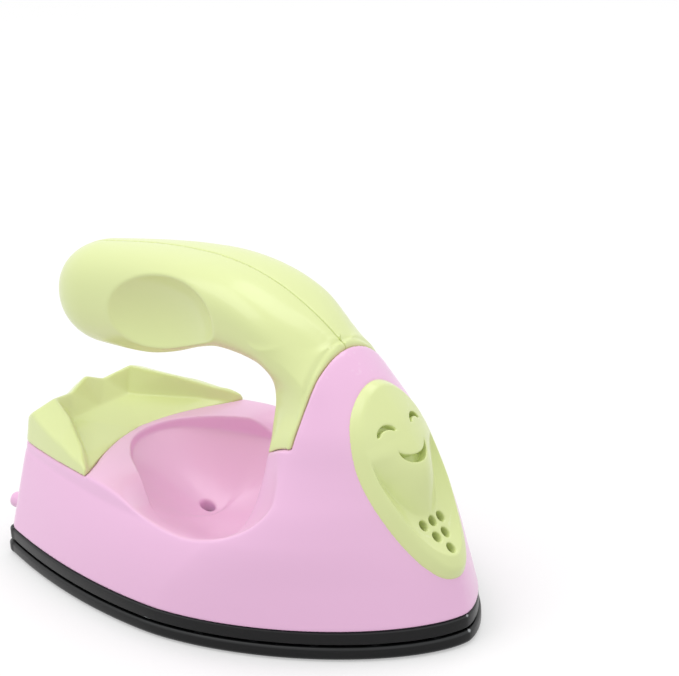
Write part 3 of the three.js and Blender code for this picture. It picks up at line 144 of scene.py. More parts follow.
CORNERS = [(0, 0, 0), (1, 0, 0), (0, 1, 0), (1, 1, 0), (0, 0, 1), (1, 0, 1), (0, 1, 1), (1, 1, 1)]


def sample(f, p):
    i = np.clip(np.floor(p).astype(int), 0, np.array(f.shape) - 2)
    t = p - i
    out = 0
    for c in CORNERS:
        w = np.prod(np.where(np.array(c) > 0, t, 1 - t), axis=1)
        out = out + w * f[i[:, 0] + c[0], i[:, 1] + c[1], i[:, 2] + c[2]]
    return out


def skin_of(f, lo, h):
    """Vertices, quads and normals of the field's zero surface, one vertex to each cell that it crosses."""
    f = f.astype(np.float32)
    for axis in range(3):
        edge = [slice(None)] * 3
        for end in (0, -1):
            edge[axis] = end
            f[tuple(edge)] = np.maximum(f[tuple(edge)], h)
    # Cells with corners on both sides
    inside = f < 0
    n = np.array(f.shape)
    total = np.zeros(n - 1, np.uint8)
    for c in CORNERS:
        total += inside[c[0]:n[0] - 1 + c[0], c[1]:n[1] - 1 + c[1], c[2]:n[2] - 1 + c[2]]
    cells = np.nonzero((total > 0) & (total < 8))
    index = np.full(total.shape, -1, np.int32)
    index[cells] = np.arange(len(cells[0]))
    base = np.stack(cells, 1)
    # Each vertex starts at the middle of its cell's edge crossings
    spot = np.zeros((len(base), 3))
    hits = np.zeros(len(base))
    for a in CORNERS:
        for axis in range(3):
            if a[axis]:
                continue
            b = list(a)
            b[axis] = 1
            fa = f[base[:, 0] + a[0], base[:, 1] + a[1], base[:, 2] + a[2]]
            fb = f[base[:, 0] + b[0], base[:, 1] + b[1], base[:, 2] + b[2]]
            cross = (fa < 0) != (fb < 0)
            t = np.where(cross, fa / np.where(cross, fa - fb, 1), 0)
            place = np.tile(np.array(a, float), (len(base), 1))
            place[:, axis] = t
            spot[cross] += place[cross]
            hits += cross
    p = base + spot / hits[:, None]
    # It is then moved on to the surface along the field's slope
    grads = np.gradient(f)
    for _ in range(3):
        value = sample(f, p)
        g = np.stack([sample(q, p) for q in grads], 1)
        move = -value[:, None] * g / np.maximum((g * g).sum(1), 1e-6)[:, None]
        size = np.linalg.norm(move, axis=1)
        p += move * np.minimum(1, 0.4 / np.maximum(size, 1e-9))[:, None]
    g = np.stack([sample(q, p) for q in grads], 1)
    normals = g / np.maximum(np.linalg.norm(g, axis=1), 1e-9)[:, None]
    # A quad for each grid edge that the surface crosses
    quads = []
    for axis in range(3):
        u, v = (axis + 1) % 3, (axis + 2) % 3
        a = [slice(None)] * 3
        b = [slice(None)] * 3
        a[axis], b[axis] = slice(0, -1), slice(1, None)
        low, high = inside[tuple(a)], inside[tuple(b)]
        at = np.stack(np.nonzero(low != high), 1)
        keep = (at[:, u] >= 1) & (at[:, v] >= 1) & (at[:, u] < n[u] - 1) & (at[:, v] < n[v] - 1)
        at = at[keep]
        eu, ev = np.eye(3, dtype=int)[u], np.eye(3, dtype=int)[v]
        ring = [at - eu - ev, at - ev, at, at - eu]
        face = np.stack([index[r[:, 0], r[:, 1], r[:, 2]] for r in ring], 1)
        out = low[at[:, 0], at[:, 1], at[:, 2]]
        face[~out] = face[~out][:, ::-1]
        quads.append(face)
    return p * h + np.array(lo), np.concatenate(quads), normals


def linked(name, data):
    ob = bpy.data.objects.new(name, data)
    bpy.context.scene.collection.objects.link(ob)
    return ob


def make_mesh(name, points, faces, normals=None):
    """A mesh object in metres from points in millimetres and an array of faces of one size."""
    me = bpy.data.meshes.new(name)
    faces = np.asarray(faces, np.int32)
    size = faces.shape[1]
    me.vertices.add(len(points))
    me.vertices.foreach_set("co", (np.asarray(points, np.float32) * MM).ravel())
    me.loops.add(faces.size)
    me.loops.foreach_set("vertex_index", faces.ravel())
    me.polygons.add(len(faces))
    me.polygons.foreach_set("loop_start", np.arange(0, faces.size, size, dtype=np.int32))
    me.polygons.foreach_set("use_smooth", np.ones(len(faces), bool))
    me.update(calc_edges=True)
    me.validate()
    if normals is not None:
        me.normals_split_custom_set_from_vertices(normals.tolist())
    return linked(name, me)


def dress(ob, material, slot, *nodes, body="root"):
    ob.data.materials.clear()
    ob.data.materials.append(material)
    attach(ob, body)
    if nodes:
        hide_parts(*nodes)
    return ob


# Outer skin of the housing, by height
SKIN_Z = [5.7, 10, 14, 18, 20.5, 22, 26, 30, 34, 37, 39.5, 41.8, 44.3, 46.8, 49, 50.7, 51.8, 52.5, 53, 53.2]
SKIN_W = [30.8, 30.2, 29.4, 28.1, 26.9, 25.9, 23, 19.7, 17.1, 15.7, 14.5, 13.1, 11.6, 10.1, 8.4, 6.5, 5, 3.6,
          1.9, 0.2]
skin_width = track(SKIN_Z, SKIN_W, 0.35)
skin_nose = track([5.5, 14, 22, 30, 38, 45, 50, 53.2], [49.6, 47.7, 44.3, 41, 37, 31.4, 26.6, 23.1], 1.5)
skin_widest = track([5.7, 10, 14, 18, 22, 26, 30, 34, 38, 42, 53.2],
                    [-0.9, 2, 5.2, 9, 13, 16.5, 19.3, 21.3, 22.6, 23, 23], 1.2, True)
SIDE_LEAN = 4.4         # how much narrower the sides above SIDE_Z would be at twice its height
bend_front = track([5.7, 14], [1.75, 1.62], 1.0, True)
bend_side = track([5.7, 14], [1.6, 1.5], 1.0, True)


def skin_half(x, z):
    """Half-width of the housing behind its widest place."""
    widest = skin_widest(z)
    wide = np.maximum(skin_width(z), 0.15)
    t = np.clip((widest - x) / (widest + SOLE_LENGTH / 2), 0, 1)
    level = np.clip((z - BODY_BASE) / (SIDE_Z - BODY_BASE), 0, 1)
    end = mix(TRANSOM_HALF - INSET, REAR_HALF + INSET, level)
    low = mix(wide, end, t ** mix(SIDE_BEND, HIGH_BEND, level))
    side_widest = skin_widest(SIDE_Z)
    s = np.clip((side_widest - x) / (side_widest - REAR_X), 0, 1)
    lean = mix(skin_width(SIDE_Z), REAR_HALF + INSET, s ** HIGH_BEND) - SIDE_LEAN * (z - SIDE_Z) / SIDE_Z
    high = mix(lean, wide, ease((x - widest / 2) / (widest / 2)))
    return np.where(z <= SIDE_Z, low, high)


def skin_field(X, Y, Z, h):
    """Distance to the housing's outer skin, less than zero inside."""
    wide = np.maximum(skin_width(Z), 0.15)[None, :]
    widest = skin_widest(Z)[None, :]
    nose = skin_nose(Z)[None, :]
    front_bend = bend_front(Z)[None, :]
    side_bend = bend_side(Z)[None, :]
    x = X[:, None]
    u = np.clip((x - widest) / np.maximum(nose - widest, 0.05), 0, None) ** front_bend
    side = np.abs(Y)[:, None]
    v = (side / wide) ** side_bend
    ahead = u[:, None, :] + v[None, :, :] - 1
    half = skin_half(x, Z[None, :])
    behind = side_bend[None] * (side[None, :, 0:1] / half[:, None, :] - 1)
    f = np.where((x >= widest)[:, None, :], ahead, behind)
    return unit(f, h)


# Top of the housing behind the cowl
arch_level = track([13.73, 15.6, 17.13, 19.87, 23.18, 26.3],
                   [41.97, 37.72, 33.84, 29.85, 25.91, 22.02], 0.8, True)
edge_level = track([REAR_X, -21, -18, -8.34, 5], [22, 22.9, 22.9, 21.82, 20.5], 1.5, True)


def seat_level(x):
    """The slanting seat of the handle's foot."""
    t = np.clip((COWL_X - x) / (COWL_X - NECK_X), 0, 1.1)
    return SEAT_Z - SEAT_FALL * mix(t, t * t, 0.7)


def seam_plane(z):
    """Where the seam between handle and cowl stands; it leans forward over the seat."""
    return COWL_X + LEAN * np.maximum(0, z - SEAT_Z) / (APEX - SEAT_Z)


def neck_distance(x, y, front_half, rear):
    """Distance past the neck's section: a wedge with rounded rear corners."""
    corner = rear + NECK_CORNER - NECK_X
    slope = (front_half - NECK_REAR_HALF) / (COWL_X - corner)
    across = (np.abs(y) - (NECK_REAR_HALF + (x - corner) * slope)) / np.hypot(1, slope)
    radius = NECK_CORNER - NECK_X
    a = across + radius
    b = rear - x + radius
    return np.hypot(np.maximum(a, 0), np.maximum(b, 0)) + np.minimum(np.maximum(a, b), 0) - radius


# How far the dish and its rim reach from the dish's middle, by the turn from straight ahead
DISH_X = -11.0
DISH_DEPTH = 12.2
RIM_STEP = 0.8
BOWL_BEND, BOWL_BEND_REAR = 1.6, 1.3
CLIMB_X = 5.0                        # where the top begins to climb to the cowl
FOOT_SPREAD, FOOT_BEND = 14.0, 3.6   # how far the handle's foot runs out, and how fast
dish_reach = track([0, 40, 55, 70, 85, 95, 105, 120, 142, 165, 180],
                   [42, 39, 35, 31, 27, 24, 21.4, 19.4, 18.5, 19.2, 19.6], 8.0, True)
rim_reach = track([60, 74, 88, 97, 111, 120, 142, 165, 180],
                  [23, 21.2, 18.6, 17.3, 16.3, 15.9, 16.3, 17.9, 18.3], 6.0, True)


def tongue_distance(x, y):
    """Distance past the tongue's foot print on its seat, as flat panels."""
    y = np.abs(y)
    slant = -0.821 * (x - 12.9) + 0.572 * (y - 9.1)
    flank = -0.196 * (x - 16.8) + 0.981 * (y - 14.7)
    return smax(smax(slant, flank, 0.5), NECK_X - x, 2.5)


def shelf_level(x, y):
    """The housing's top before the dish and the foot are formed."""
    side = np.abs(y) / SOLE_HALF
    crown = mix(1.25, 0.4, ease((x + 24) / 18))
    return edge_level(x) + crown * (1 - side * side)


def dish_turn(x, y):
    """Turn from straight ahead, in degrees, and reach from the dish's middle."""
    return np.degrees(np.arctan2(np.abs(y), x - DISH_X)), np.hypot(x - DISH_X, y)


def top_level(x, y, sunk=True):
    """The housing's top; sunk says whether the step inside the rim is taken."""
    turn, reach = dish_turn(x, y)
    r2 = (reach / dish_reach(turn)) ** 2
    bowl = DISH_DEPTH * np.maximum(0, 1 - r2) ** mix(BOWL_BEND, BOWL_BEND_REAR, ease((turn - 90) / 50))
    rear = ease((turn - 84) / 26)
    floor = shelf_level(x, y) - (bowl + RIM_STEP * rear if sunk else bowl * (1 - rear))
    t = np.clip((x - CLIMB_X) / (COWL_X - CLIMB_X), 0, 1)
    climb = np.maximum(9.0, np.minimum(arch_level(np.abs(y)), SEAT_Z) - SIDE_Z)
    front = climb * (1 - np.sqrt(1 - t * t * 0.9999))
    away = np.clip(tongue_distance(x, y) / FOOT_SPREAD, 0, 1)
    foot = (seat_level(x) - floor) * (1 - away) ** FOOT_BEND
    return np.minimum(seat_level(x), floor + np.hypot(front, foot))


# Badge on the cowl: its border by turn, and its own plane
BADGE_TOP = np.array([29.5, 46.8])
BADGE_END = np.array([47.9, 12.9])
BADGE_MID = (BADGE_TOP + BADGE_END) / 2
BADGE_SPAN = float(np.hypot(*(BADGE_END - BADGE_TOP)))
BADGE_UP = (BADGE_TOP - BADGE_END) / BADGE_SPAN
BADGE_SIDE = [0, 2.6, 4.9, 6.7, 8, 9.1, 9.9, 10.3, 10.35, 10.15, 9.7, 9, 8.2, 7.3, 6.3, 5.1, 3.8, 2.4, 1.1, 0]
BADGE_RISE = [19.4, 18.9, 17.5, 15.9, 14.1, 11.8, 8.9, 5.8, 2.6, -0.6, -3.5, -6.5, -9.3, -11.8, -14.2, -16.2,
              -18, -19.1, -19.5, -19.6]


def badge_edge():
    """The border as reach by turn, from a closed ring softened all round."""
    side = np.array(BADGE_SIDE + [-v for v in BADGE_SIDE[-2:0:-1]])
    rise = np.array(BADGE_RISE + BADGE_RISE[-2:0:-1])
    run = np.concatenate([[0], np.cumsum(np.hypot(*np.diff([[*side, 0], [*rise, rise[0]]])))])
    at = np.linspace(0, run[-1], 720, endpoint=False)
    ring = np.interp(at, run, [*side, 0]) + 1j * np.interp(at, run, [*rise, rise[0]])
    pull = np.exp(-0.5 * (np.fft.fftfreq(720, 1 / 720) / run[-1] * 2 * math.pi * 1.1) ** 2)
    ring = np.fft.ifft(np.fft.fft(ring) * pull)
    half = ring[:361]
    turn = np.arctan2(np.maximum(half.real, 0), half.imag)
    return turn, np.abs(half)


EDGE_TURN, EDGE_REACH = badge_edge()


def badge_place(X, Y, Z):
    """Side, rise and distance past the border for a grid."""
    dx = X[:, None] - BADGE_MID[0]
    dz = Z[None, :] - BADGE_MID[1]
    rise = (dx * BADGE_UP[0] + dz * BADGE_UP[1])[:, None, :] + 0 * Y[None, :, None]
    side = Y[None, :, None] + 0 * rise
    turn = np.arctan2(np.abs(side), rise)
    past = np.hypot(side, rise) - np.interp(turn, EDGE_TURN, EDGE_REACH)
    slope = np.gradient(EDGE_REACH, EDGE_TURN) / EDGE_REACH
    past = past / np.sqrt(1 + np.interp(turn, EDGE_TURN, slope) ** 2)
    return side, rise, past


def above(level, Z, h):
    """Distance above a height field."""
    gx, gy = np.gradient(level, h)
    return (Z[None, None, :] - level[:, :, None]) / np.sqrt(1 + gx * gx + gy * gy)[:, :, None]


def behind_rear(x, z):
    """Distance behind the rear face, which leans in as it rises."""
    return mix(-SOLE_LENGTH / 2 + INSET, REAR_X, np.clip((z - BODY_BASE) / (REAR_TOP - BODY_BASE), 0, 1)) - x


def ledge_level(x, y):
    """The ledge that carries the deck."""
    return edge_level(x) + 0.4 * (1 - (y / SOLE_HALF) ** 2)


PEG_X, PEG_SIDE, PEG_Z, PEG_RADIUS, PEG_HALF = -51.0, 15.5, 8.2, 1.6, 2.4
HOLE_X, HOLE_RADIUS, HOLE_DEEP, BOSS_RADIUS = -14.2, 1.45, 2.6, 3.1
BADGE_CLEAR, WINDOW_IN = 0.4, 1.5    # the recess and the window stand in from the badge's border by these


def housing():
    """The pink housing: S is its outside, T its top behind the cowl, P the seam with the handle."""
    h = STEP
    lo = (-54.2, -31.9, 4.9)
    X, Y, Z = axes(lo, (50.8, 31.9, 54.6), h)
    S = skin_field(X, Y, Z, h)
    x2, y2 = np.meshgrid(X, Y, indexing="ij")
    turn, reach = dish_turn(x2, y2)
    T = above(top_level(x2, y2, False), Z, h)
    sunk = above(top_level(x2, y2), Z, h)
    T = smax(T, np.minimum(sunk, (rim_reach(turn) - reach)[:, :, None]), 0.25).astype(np.float32)
    x3 = X[:, None, None].astype(np.float32)
    z3 = Z[None, None, :].astype(np.float32)
    y3 = Y[None, :, None].astype(np.float32)
    rear = behind_rear(x3, z3)
    outer = smax(S, rear, REAR_ROUND)
    T = np.maximum(T, np.minimum(z3 - ledge_level(x3, y3), deck_joint(np.abs(y3)) - x3)).astype(np.float32)
    P = (seam_plane(z3) - x3).astype(np.float32)
    f = smax(outer, np.minimum(T, P), 0.6)
    cavity = np.maximum(np.maximum(S, rear) + WALL, np.minimum(T + WALL, P + WALL))
    f = np.maximum(f, -cavity)
    for side in (-1, 1):
        peg = np.hypot(y3 - PEG_SIDE * side, z3 - PEG_Z) - PEG_RADIUS
        peg = smax(peg, np.abs(x3 - PEG_X) - PEG_HALF, 0.5)
        f = smin(f, peg + 0 * f, 0.5)
    f = np.maximum(f, BODY_BASE - z3)
    off_axis = np.hypot(x3 - HOLE_X, y3)
    floor = float(top_level(np.array(HOLE_X), np.array(0.0)))
    boss = np.maximum(off_axis - BOSS_RADIUS, np.maximum(z3 - floor + 0.8, BODY_BASE + INSET - z3))
    f = np.minimum(f, boss).astype(np.float32)
    f = smax(f, -np.maximum(off_axis - HOLE_RADIUS, floor - HOLE_DEEP - z3), 0.35)
    i = int(np.searchsorted(X, 26))
    past = badge_place(X[i:], Y, Z)[2]
    recess = np.maximum(past + BADGE_CLEAR, -(S[i:] + WALL))
    window = np.maximum(past + WINDOW_IN, -(S[i:] + 12))
    f[i:] = smax(f[i:], -np.minimum(recess, window).astype(np.float32), 0.3)
    return skin_of(f, lo, h)


# Rear deck: flat faces between ridges
DECK = {
    "frontMiddle": (-20, 0, 19.05), "arcMiddle": (-31.3, 0, 23.2), "footMiddle": (-42.3, 0, 25.7),
    "footSide": (-42.3, 8, 25.7), "footFront": (-29.5, 16.9, 24.4), "footTip": (-20, 23.7, 22.2),
    "crest": (-45.6, 0, 31.7), "dip": (-45.4, 4.5, 29.7), "horn": (-43.8, 10.4, 30.8),
    "ridgeRear": (-36, 13.9, 29.2), "ridgeFront": (-28, 18.4, 26.6), "ridgeTip": (-20, 25, 22.9),
    "rearMiddle": (-51.5, 0, 27), "rearDip": (-51.5, 4.5, 24.9), "rearCorner": (-51.5, 13.9, 25),
    "rearOut": (-51.5, 28.1, 22.8), "sideRear": (-36, 28.1, 22.4), "sideFront": (-28, 29.6, 22.2),
    "sideTip": (-20, 32.8, 21.6),
}
DECK_FACES = [
    ("frontMiddle", "footTip", "footFront", "arcMiddle"),
    ("arcMiddle", "footFront", "footSide", "footMiddle"),
    ("footMiddle", "footSide", "dip", "crest"),
    ("footSide", "horn", "dip"),
    ("footSide", "footFront", "ridgeRear", "horn"),
    ("footFront", "ridgeFront", "ridgeRear"),
    ("footFront", "footTip", "ridgeTip", "ridgeFront"),
    ("crest", "dip", "rearDip", "rearMiddle"),
    ("dip", "horn", "rearCorner", "rearDip"),
    ("horn", "ridgeRear", "sideRear", "rearOut"),
    ("horn", "rearOut", "rearCorner"),
    ("ridgeRear", "ridgeFront", "sideFront", "sideRear"),
    ("ridgeFront", "ridgeTip", "sideTip", "sideFront"),
]
RIDGE_SOFT = 0.32
deck_joint = track([0, 5.93, 11.23, 14.98, 19.34, 23.09, 26.52, 34.3],
                   [-31.3, -30.4, -28.7, -27.1, -24.8, -23.7, -23.3, -23.1], 0.8, True)


def blur(a, cells):
    """A Gaussian blur along each axis."""
    n = int(3 * cells) + 1
    w = np.exp(-0.5 * (np.arange(-n, n + 1) / cells) ** 2)
    w /= w.sum()
    for axis in range(a.ndim):
        pad = [(0, 0)] * a.ndim
        pad[axis] = (n, n)
        a = np.apply_along_axis(lambda r: np.convolve(r, w, "valid"), axis, np.pad(a, pad, "edge"))
    return a


def deck_height(X, Y, soft, h):
    """The deck's top as flat triangles between its points, with its ridges softened."""
    x, y = np.meshgrid(X, np.abs(Y), indexing="ij")
    level = np.full(x.shape, 10.0)
    for face in DECK_FACES:
        for k in range(1, len(face) - 1):
            a, b, c = (np.array(DECK[face[j]]) for j in (0, k, k + 1))
            area = (b[0] - a[0]) * (c[1] - a[1]) - (b[1] - a[1]) * (c[0] - a[0])
            wb = ((x - a[0]) * (c[1] - a[1]) - (y - a[1]) * (c[0] - a[0])) / area
            wc = ((b[0] - a[0]) * (y - a[1]) - (b[1] - a[1]) * (x - a[0])) / area
            hit = (wb >= -0.001) & (wc >= -0.001) & (wb + wc <= 1.001)
            level[hit] = (a[2] + wb * (b[2] - a[2]) + wc * (c[2] - a[2]))[hit]
    return blur(level, soft / h)


def deck():
    """The rear deck: D is its top, J its joint with the housing."""
    h = STEP * 0.8
    lo = (-51.4, -28.0, 20.4)
    X, Y, Z = axes(lo, (-22.0, 28.0, 33.2), h)
    S = skin_field(X, Y, Z, h)
    D = above(deck_height(X, Y, RIDGE_SOFT, h), Z, h)
    x3, y3, z3 = X[:, None, None], Y[None, :, None], Z[None, None, :]
    joint = deck_joint(np.abs(y3))
    lean = (deck_joint(np.abs(y3) + 0.1) - joint) / 0.1
    J = (x3 - joint + GAP / 2) / np.sqrt(1 + lean * lean)
    f = smax(smax(S, behind_rear(x3, z3) + 0 * S, REAR_ROUND), D, 0.6)
    f = smax(f, J + 0 * f, 0.35)
    f = smax(f, ledge_level(x3, y3) + GAP / 2 - z3 + 0 * f, 0.2)
    return skin_of(f, lo, h)


# Front badge: a domed face whose chin stands over a bowl inside a U-shaped rim
EYE_SIDE, EYE_FOOT, EYE_DEEP = 3.95, 9.6, 1.6
SMILE_DEEP = 2.1
VENT_PITCH, VENT_TOP, VENT_DROP, VENT_RADIUS, VENT_TALL = 2.45, -8.3, 2.85, 0.85, 0.85
VENT_ROWS = ((-1, 0, 1), (-0.5, 0.5), (0,))
CHIN_RISE = [-9, -6.5, -5, -3, -1, 1, 2, 6]
chin_middle = track(CHIN_RISE, [-2.4, -1.5, -0.9, 0, 0.8, 1.25, 1.3, 1.1], 0.6)
chin_fall = track(CHIN_RISE, [0.04, 0.045, 0.05, 0.055, 0.055, 0.048, 0.034, 0.0], 0.6, True)


def oval(side, rise, middle, half_side, half_rise):
    """Rough distance to an oval on the badge."""
    return (np.hypot(side / half_side, (rise - middle) / half_rise) - 1) * min(half_side, half_rise)


def badge_relief(side, rise, past):
    """How far the badge's face stands out from the cowl's skin."""
    bib = np.sqrt((side / 8.6) ** 2 + (np.maximum(0, 3 - rise) / 18.5) ** 1.4)
    slope = -1.7 + 2.8 * np.clip((bib - 0.66) / 0.34, 0, 1) ** 1.4
    chin = chin_middle(rise) - chin_fall(rise) * side * side
    inner = smax(chin, slope, 0.25)
    t = np.clip(-past / 3.2, 0, 1)
    return smin(inner, 1.4 * (1 - (1 - t) ** 2) + 0.05, 0.2)


def badge():
    """The front badge, with its face cut in and its six vents."""
    h = 0.16
    lo = (27.6, -11.6, 11.0)
    X, Y, Z = axes(lo, (50.2, 11.6, 49.0), h)
    S = skin_field(X, Y, Z, h)
    side, rise, past = badge_place(X, Y, Z)
    level = badge_relief(side, rise, past)
    f = smax(S - level, past, 0.3)
    boss = 4.2 * ease((6.4 - np.hypot(side, rise + 11)) / 1.2)    # thicker back behind the vents
    f = np.maximum(f, -(S + 2.2 + boss))
    for centre in (-EYE_SIDE, EYE_SIDE):
        across = side - centre
        arc = np.maximum(oval(across, rise, 9.2, 1.95, 2.0), -oval(across, rise, 8.55, 1.75, 1.75))
        arc = np.maximum(arc, EYE_FOOT - rise)
        f = smax(f, -np.maximum(arc, level - EYE_DEEP - S), 0.2)
    arc = np.maximum(oval(side, rise, 6.0, 3.6, 3.4), -oval(side, rise, 7.0, 3.9, 2.8))
    f = smax(f, -np.maximum(arc, level - SMILE_DEEP - S), 0.2)
    for row, columns in enumerate(VENT_ROWS):
        for column in columns:
            drop = (rise - VENT_TOP + row * VENT_DROP) * VENT_TALL
            f = smax(f, VENT_RADIUS - np.hypot(side - column * VENT_PITCH, drop), 0.4)
    return skin_of(f, lo, h)


# Handle: a bar whose section changes along x, and the neck that carries it
BAR_X = [-47.5, -37.8, -29.6, -22.6, -15, -7.5, 0, 5, 10.4, 15, 19.2, 23]
bar_top = track(BAR_X, [60.6, 61.8, 63, 63.9, 64.5, 64.6, 63.9, 62.8, 60.9, 58.6, 56.1, 53.2], 1.5)
bar_low = track(BAR_X, [41.4, 41.4, 41.6, 42.2, 44.2, 47, 48.6, 48.4, 47.3, 45, 43, 40], 1.5)
bar_wide = track(BAR_X, [8.4, 8.8, 9.2, 9.8, 10.4, 10.8, 11, 11, 10.9, 10.6, 10.2, 9.8], 1.5)
bar_bend = track(BAR_X, [2.1, 2.2, 2.3, 2.4, 2.6, 2.8, 2.8, 2.8, 2.7, 2.6, 2.5, 2.4], 1.5)
neck_back = track([26.6, 31.9, 35.1, 37.4, 39.6, 41.8, 44.3, 45.8, 47.3, 48.4, 50],
                  [10.2, 10.2, 10.9, 11.4, 11.8, 12.2, 12.5, 12.6, 12.6, 12.4, 11.8], 0.8, True)
NECK_TOP = 52.0
TONGUE_TOP, TONGUE_BLEND = 42.6, 8.4    # below this height the neck turns into the tongue's flat panels
COWL_BLEND_X, COWL_BLEND = 22.2, 0.8    # past this place the bar turns into the cowl's own skin
SCREWS = [(-28.5, 47.7), (16.65, 50.2)]
WELL_RADIUS, WELL_FLOOR = 1.55, 4.0
SCOOP_X, SCOOP_Z, SCOOP_LONG, SCOOP_TALL, SCOOP_DEEP, SCOOP_BALL = -14.0, 53.1, 15.2, 10.4, 4.6, 13.0
SCOOP_TURN = -math.pi / 17


def handle_field(X, Y, Z, h):
    """Distance to the whole handle's outside."""
    x, z = X[:, None], Z[None, :]
    top, low = bar_top(x), bar_low(x)
    into = np.clip((TAIL_X + TAIL_ROUND - x) / TAIL_ROUND, 0, 1)
    shrink = np.maximum(1 - into ** 2.2, 0.0001) ** (1 / 2.2)
    rise = (top - low) / 2 * shrink
    middle = (top + low) / 2
    s = (z - middle) / rise
    wide = bar_wide(x) * shrink
    bend = bar_bend(x)
    blend = ease((x - NECK_X) / (COWL_X - NECK_X)) ** 1.5
    arch_middle = float(bar_top(COWL_X) + bar_low(COWL_X)) / 2
    plain = np.maximum(1 - np.abs(s) ** bend, 0) ** (1 / bend)
    arch = np.where(s > 0, np.maximum(skin_width(mix(arch_middle, APEX, np.clip(s, 0, 1))), 0),
                    skin_width(arch_middle) * plain)
    half = mix(wide * plain, arch, blend)
    ref = mix(wide, skin_width(arch_middle), blend)
    reach = (half / ref) ** bend
    reach = np.where(np.abs(s) > 1, 1 - np.abs(s) ** bend, reach)
    y = np.abs(Y)
    f = (y[None, :, None] / ref[:, None, :]) ** bend[:, :, None] - reach[:, None, :]
    f = unit(f, h)
    x3, y3, z3 = X[:, None, None], Y[None, :, None], Z[None, None, :]
    end = TAIL_X - x3
    f = np.maximum(f, end + 0 * f)
    front = np.minimum(skin_width(z3), NECK_FRONT_HALF)
    neck = neck_distance(x3, y3, front, neck_back(z3))
    neck = np.maximum(neck, z3 - NECK_TOP)
    spread = ease((TONGUE_TOP - z3) / TONGUE_BLEND)
    neck = mix(neck, np.maximum(tongue_distance(x3, y3), z3 - NECK_TOP), spread)
    f = smin(f, neck, 2.4)
    f = mix(f, skin_field(X, Y, Z, h), ease((x3 - COWL_BLEND_X) / COWL_BLEND))
    f = smax(f, x3 - seam_plane(z3) + 0.15 + 0 * f, 0.25)
    f = smax(f, seat_level(x3) + 0.1 - z3 + 0 * f, 0.15)
    return f


def scoop_field(X, Y, Z, side):
    """Distance to the ellipsoid that hollows one side of the bar for a finger."""
    chord = math.sqrt(1 - (1 - SCOOP_DEEP / SCOOP_BALL) ** 2)
    dx, dz = X[:, None, None] - SCOOP_X, Z[None, None, :] - SCOOP_Z
    a = dx * math.cos(SCOOP_TURN) - dz * math.sin(SCOOP_TURN)
    b = dx * math.sin(SCOOP_TURN) + dz * math.cos(SCOOP_TURN)
    c = Y[None, :, None] - side * (float(bar_wide(SCOOP_X)) - SCOOP_DEEP + SCOOP_BALL)
    ra, rb, rc = SCOOP_LONG / chord, SCOOP_TALL / chord, SCOOP_BALL
    q = np.sqrt((a / ra) ** 2 + (b / rb) ** 2 + (c / rc) ** 2)
    return (q - 1) * rb


def handle_half(side):
    """One shell of the handle; the left one, side 1, has the wells of the cross screws."""
    h = STEP * 0.8
    lo = (-48.4, -17.2, 27.6)
    X, Y, Z = axes(lo, (25.4, 17.2, 65.6), h)
    Y = Y[Y > -1] if side > 0 else Y[Y < 1]
    lo = (lo[0], float(Y[0]), lo[2])
    f = handle_field(X, Y, Z, h)
    for s in (-1, 1):
        f = smax(f, -scoop_field(X, Y, Z, s), 0.3)
    x3, y3, z3 = X[:, None, None], Y[None, :, None], Z[None, None, :]
    f = smax(f, 0.04 - side * y3 + 0 * f, 0.14)
    if side > 0:
        for sx, sz in SCREWS:
            well = np.hypot(x3 - sx, z3 - sz) - WELL_RADIUS
            f = smax(f, -np.maximum(well, WELL_FLOOR - y3), 0.35)
    return skin_of(f, lo, h)


# Sole, shield and tabs: rings of the sole's outline
PLATE_TOP, SHIELD_BASE, SHIELD_TOP, SHIELD_BAND = 2.6, 3.0, 5.5, 5.5
TAB_PITCH, TAB_LONG, TAB_DEEP, TAB_IN = 11.5, 1.4, 1.2, 1.4


def sole_outline(count):
    """The sole's border from the nose round the left side, the rear and back; count is points to a curve."""
    t = np.linspace(0, math.pi / 2, count)
    x = mix(SOLE_WIDEST, SOLE_LENGTH / 2, np.cos(t) ** (2 / NOSE_BEND))
    y = SOLE_HALF * np.sin(t) ** (2 / FLANK_BEND)
    s = np.linspace(0, 1, count)[1:-1]
    rear = -SOLE_LENGTH / 2
    turn = np.linspace(0, math.pi / 2, 9)
    end_y = mix(SOLE_HALF, TRANSOM_HALF, ((SOLE_WIDEST - rear - CORNER) / (SOLE_WIDEST - rear)) ** SIDE_BEND)
    s = s * (SOLE_WIDEST - rear - CORNER) / (SOLE_WIDEST - rear)
    x = np.concatenate([x, mix(SOLE_WIDEST, rear, s), rear + CORNER - CORNER * np.sin(turn)])
    y = np.concatenate([y, mix(SOLE_HALF, TRANSOM_HALF, s ** SIDE_BEND), end_y - CORNER * (1 - np.cos(turn))])
    fill = np.linspace(y[-1], 0, 12)[1:-1]
    x = np.concatenate([x, np.full(len(fill), rear)])
    y = np.concatenate([y, fill])
    ring = np.stack([x, y], 1)
    back = ring[1:][::-1] * np.array([1, -1])
    return np.concatenate([ring, [[rear, 0]], back])


def inset_ring(ring, inset):
    """The ring moved inwards, point by point."""
    before, after = np.roll(ring, 1, 0), np.roll(ring, -1, 0)
    a = ring - before
    b = after - ring
    a /= np.maximum(np.linalg.norm(a, axis=1), 1e-9)[:, None]
    b /= np.maximum(np.linalg.norm(b, axis=1), 1e-9)[:, None]
    n = np.stack([-(a[:, 1] + b[:, 1]), a[:, 0] + b[:, 0]], 1)
    n /= np.linalg.norm(n, axis=1)[:, None]
    return ring + n * inset


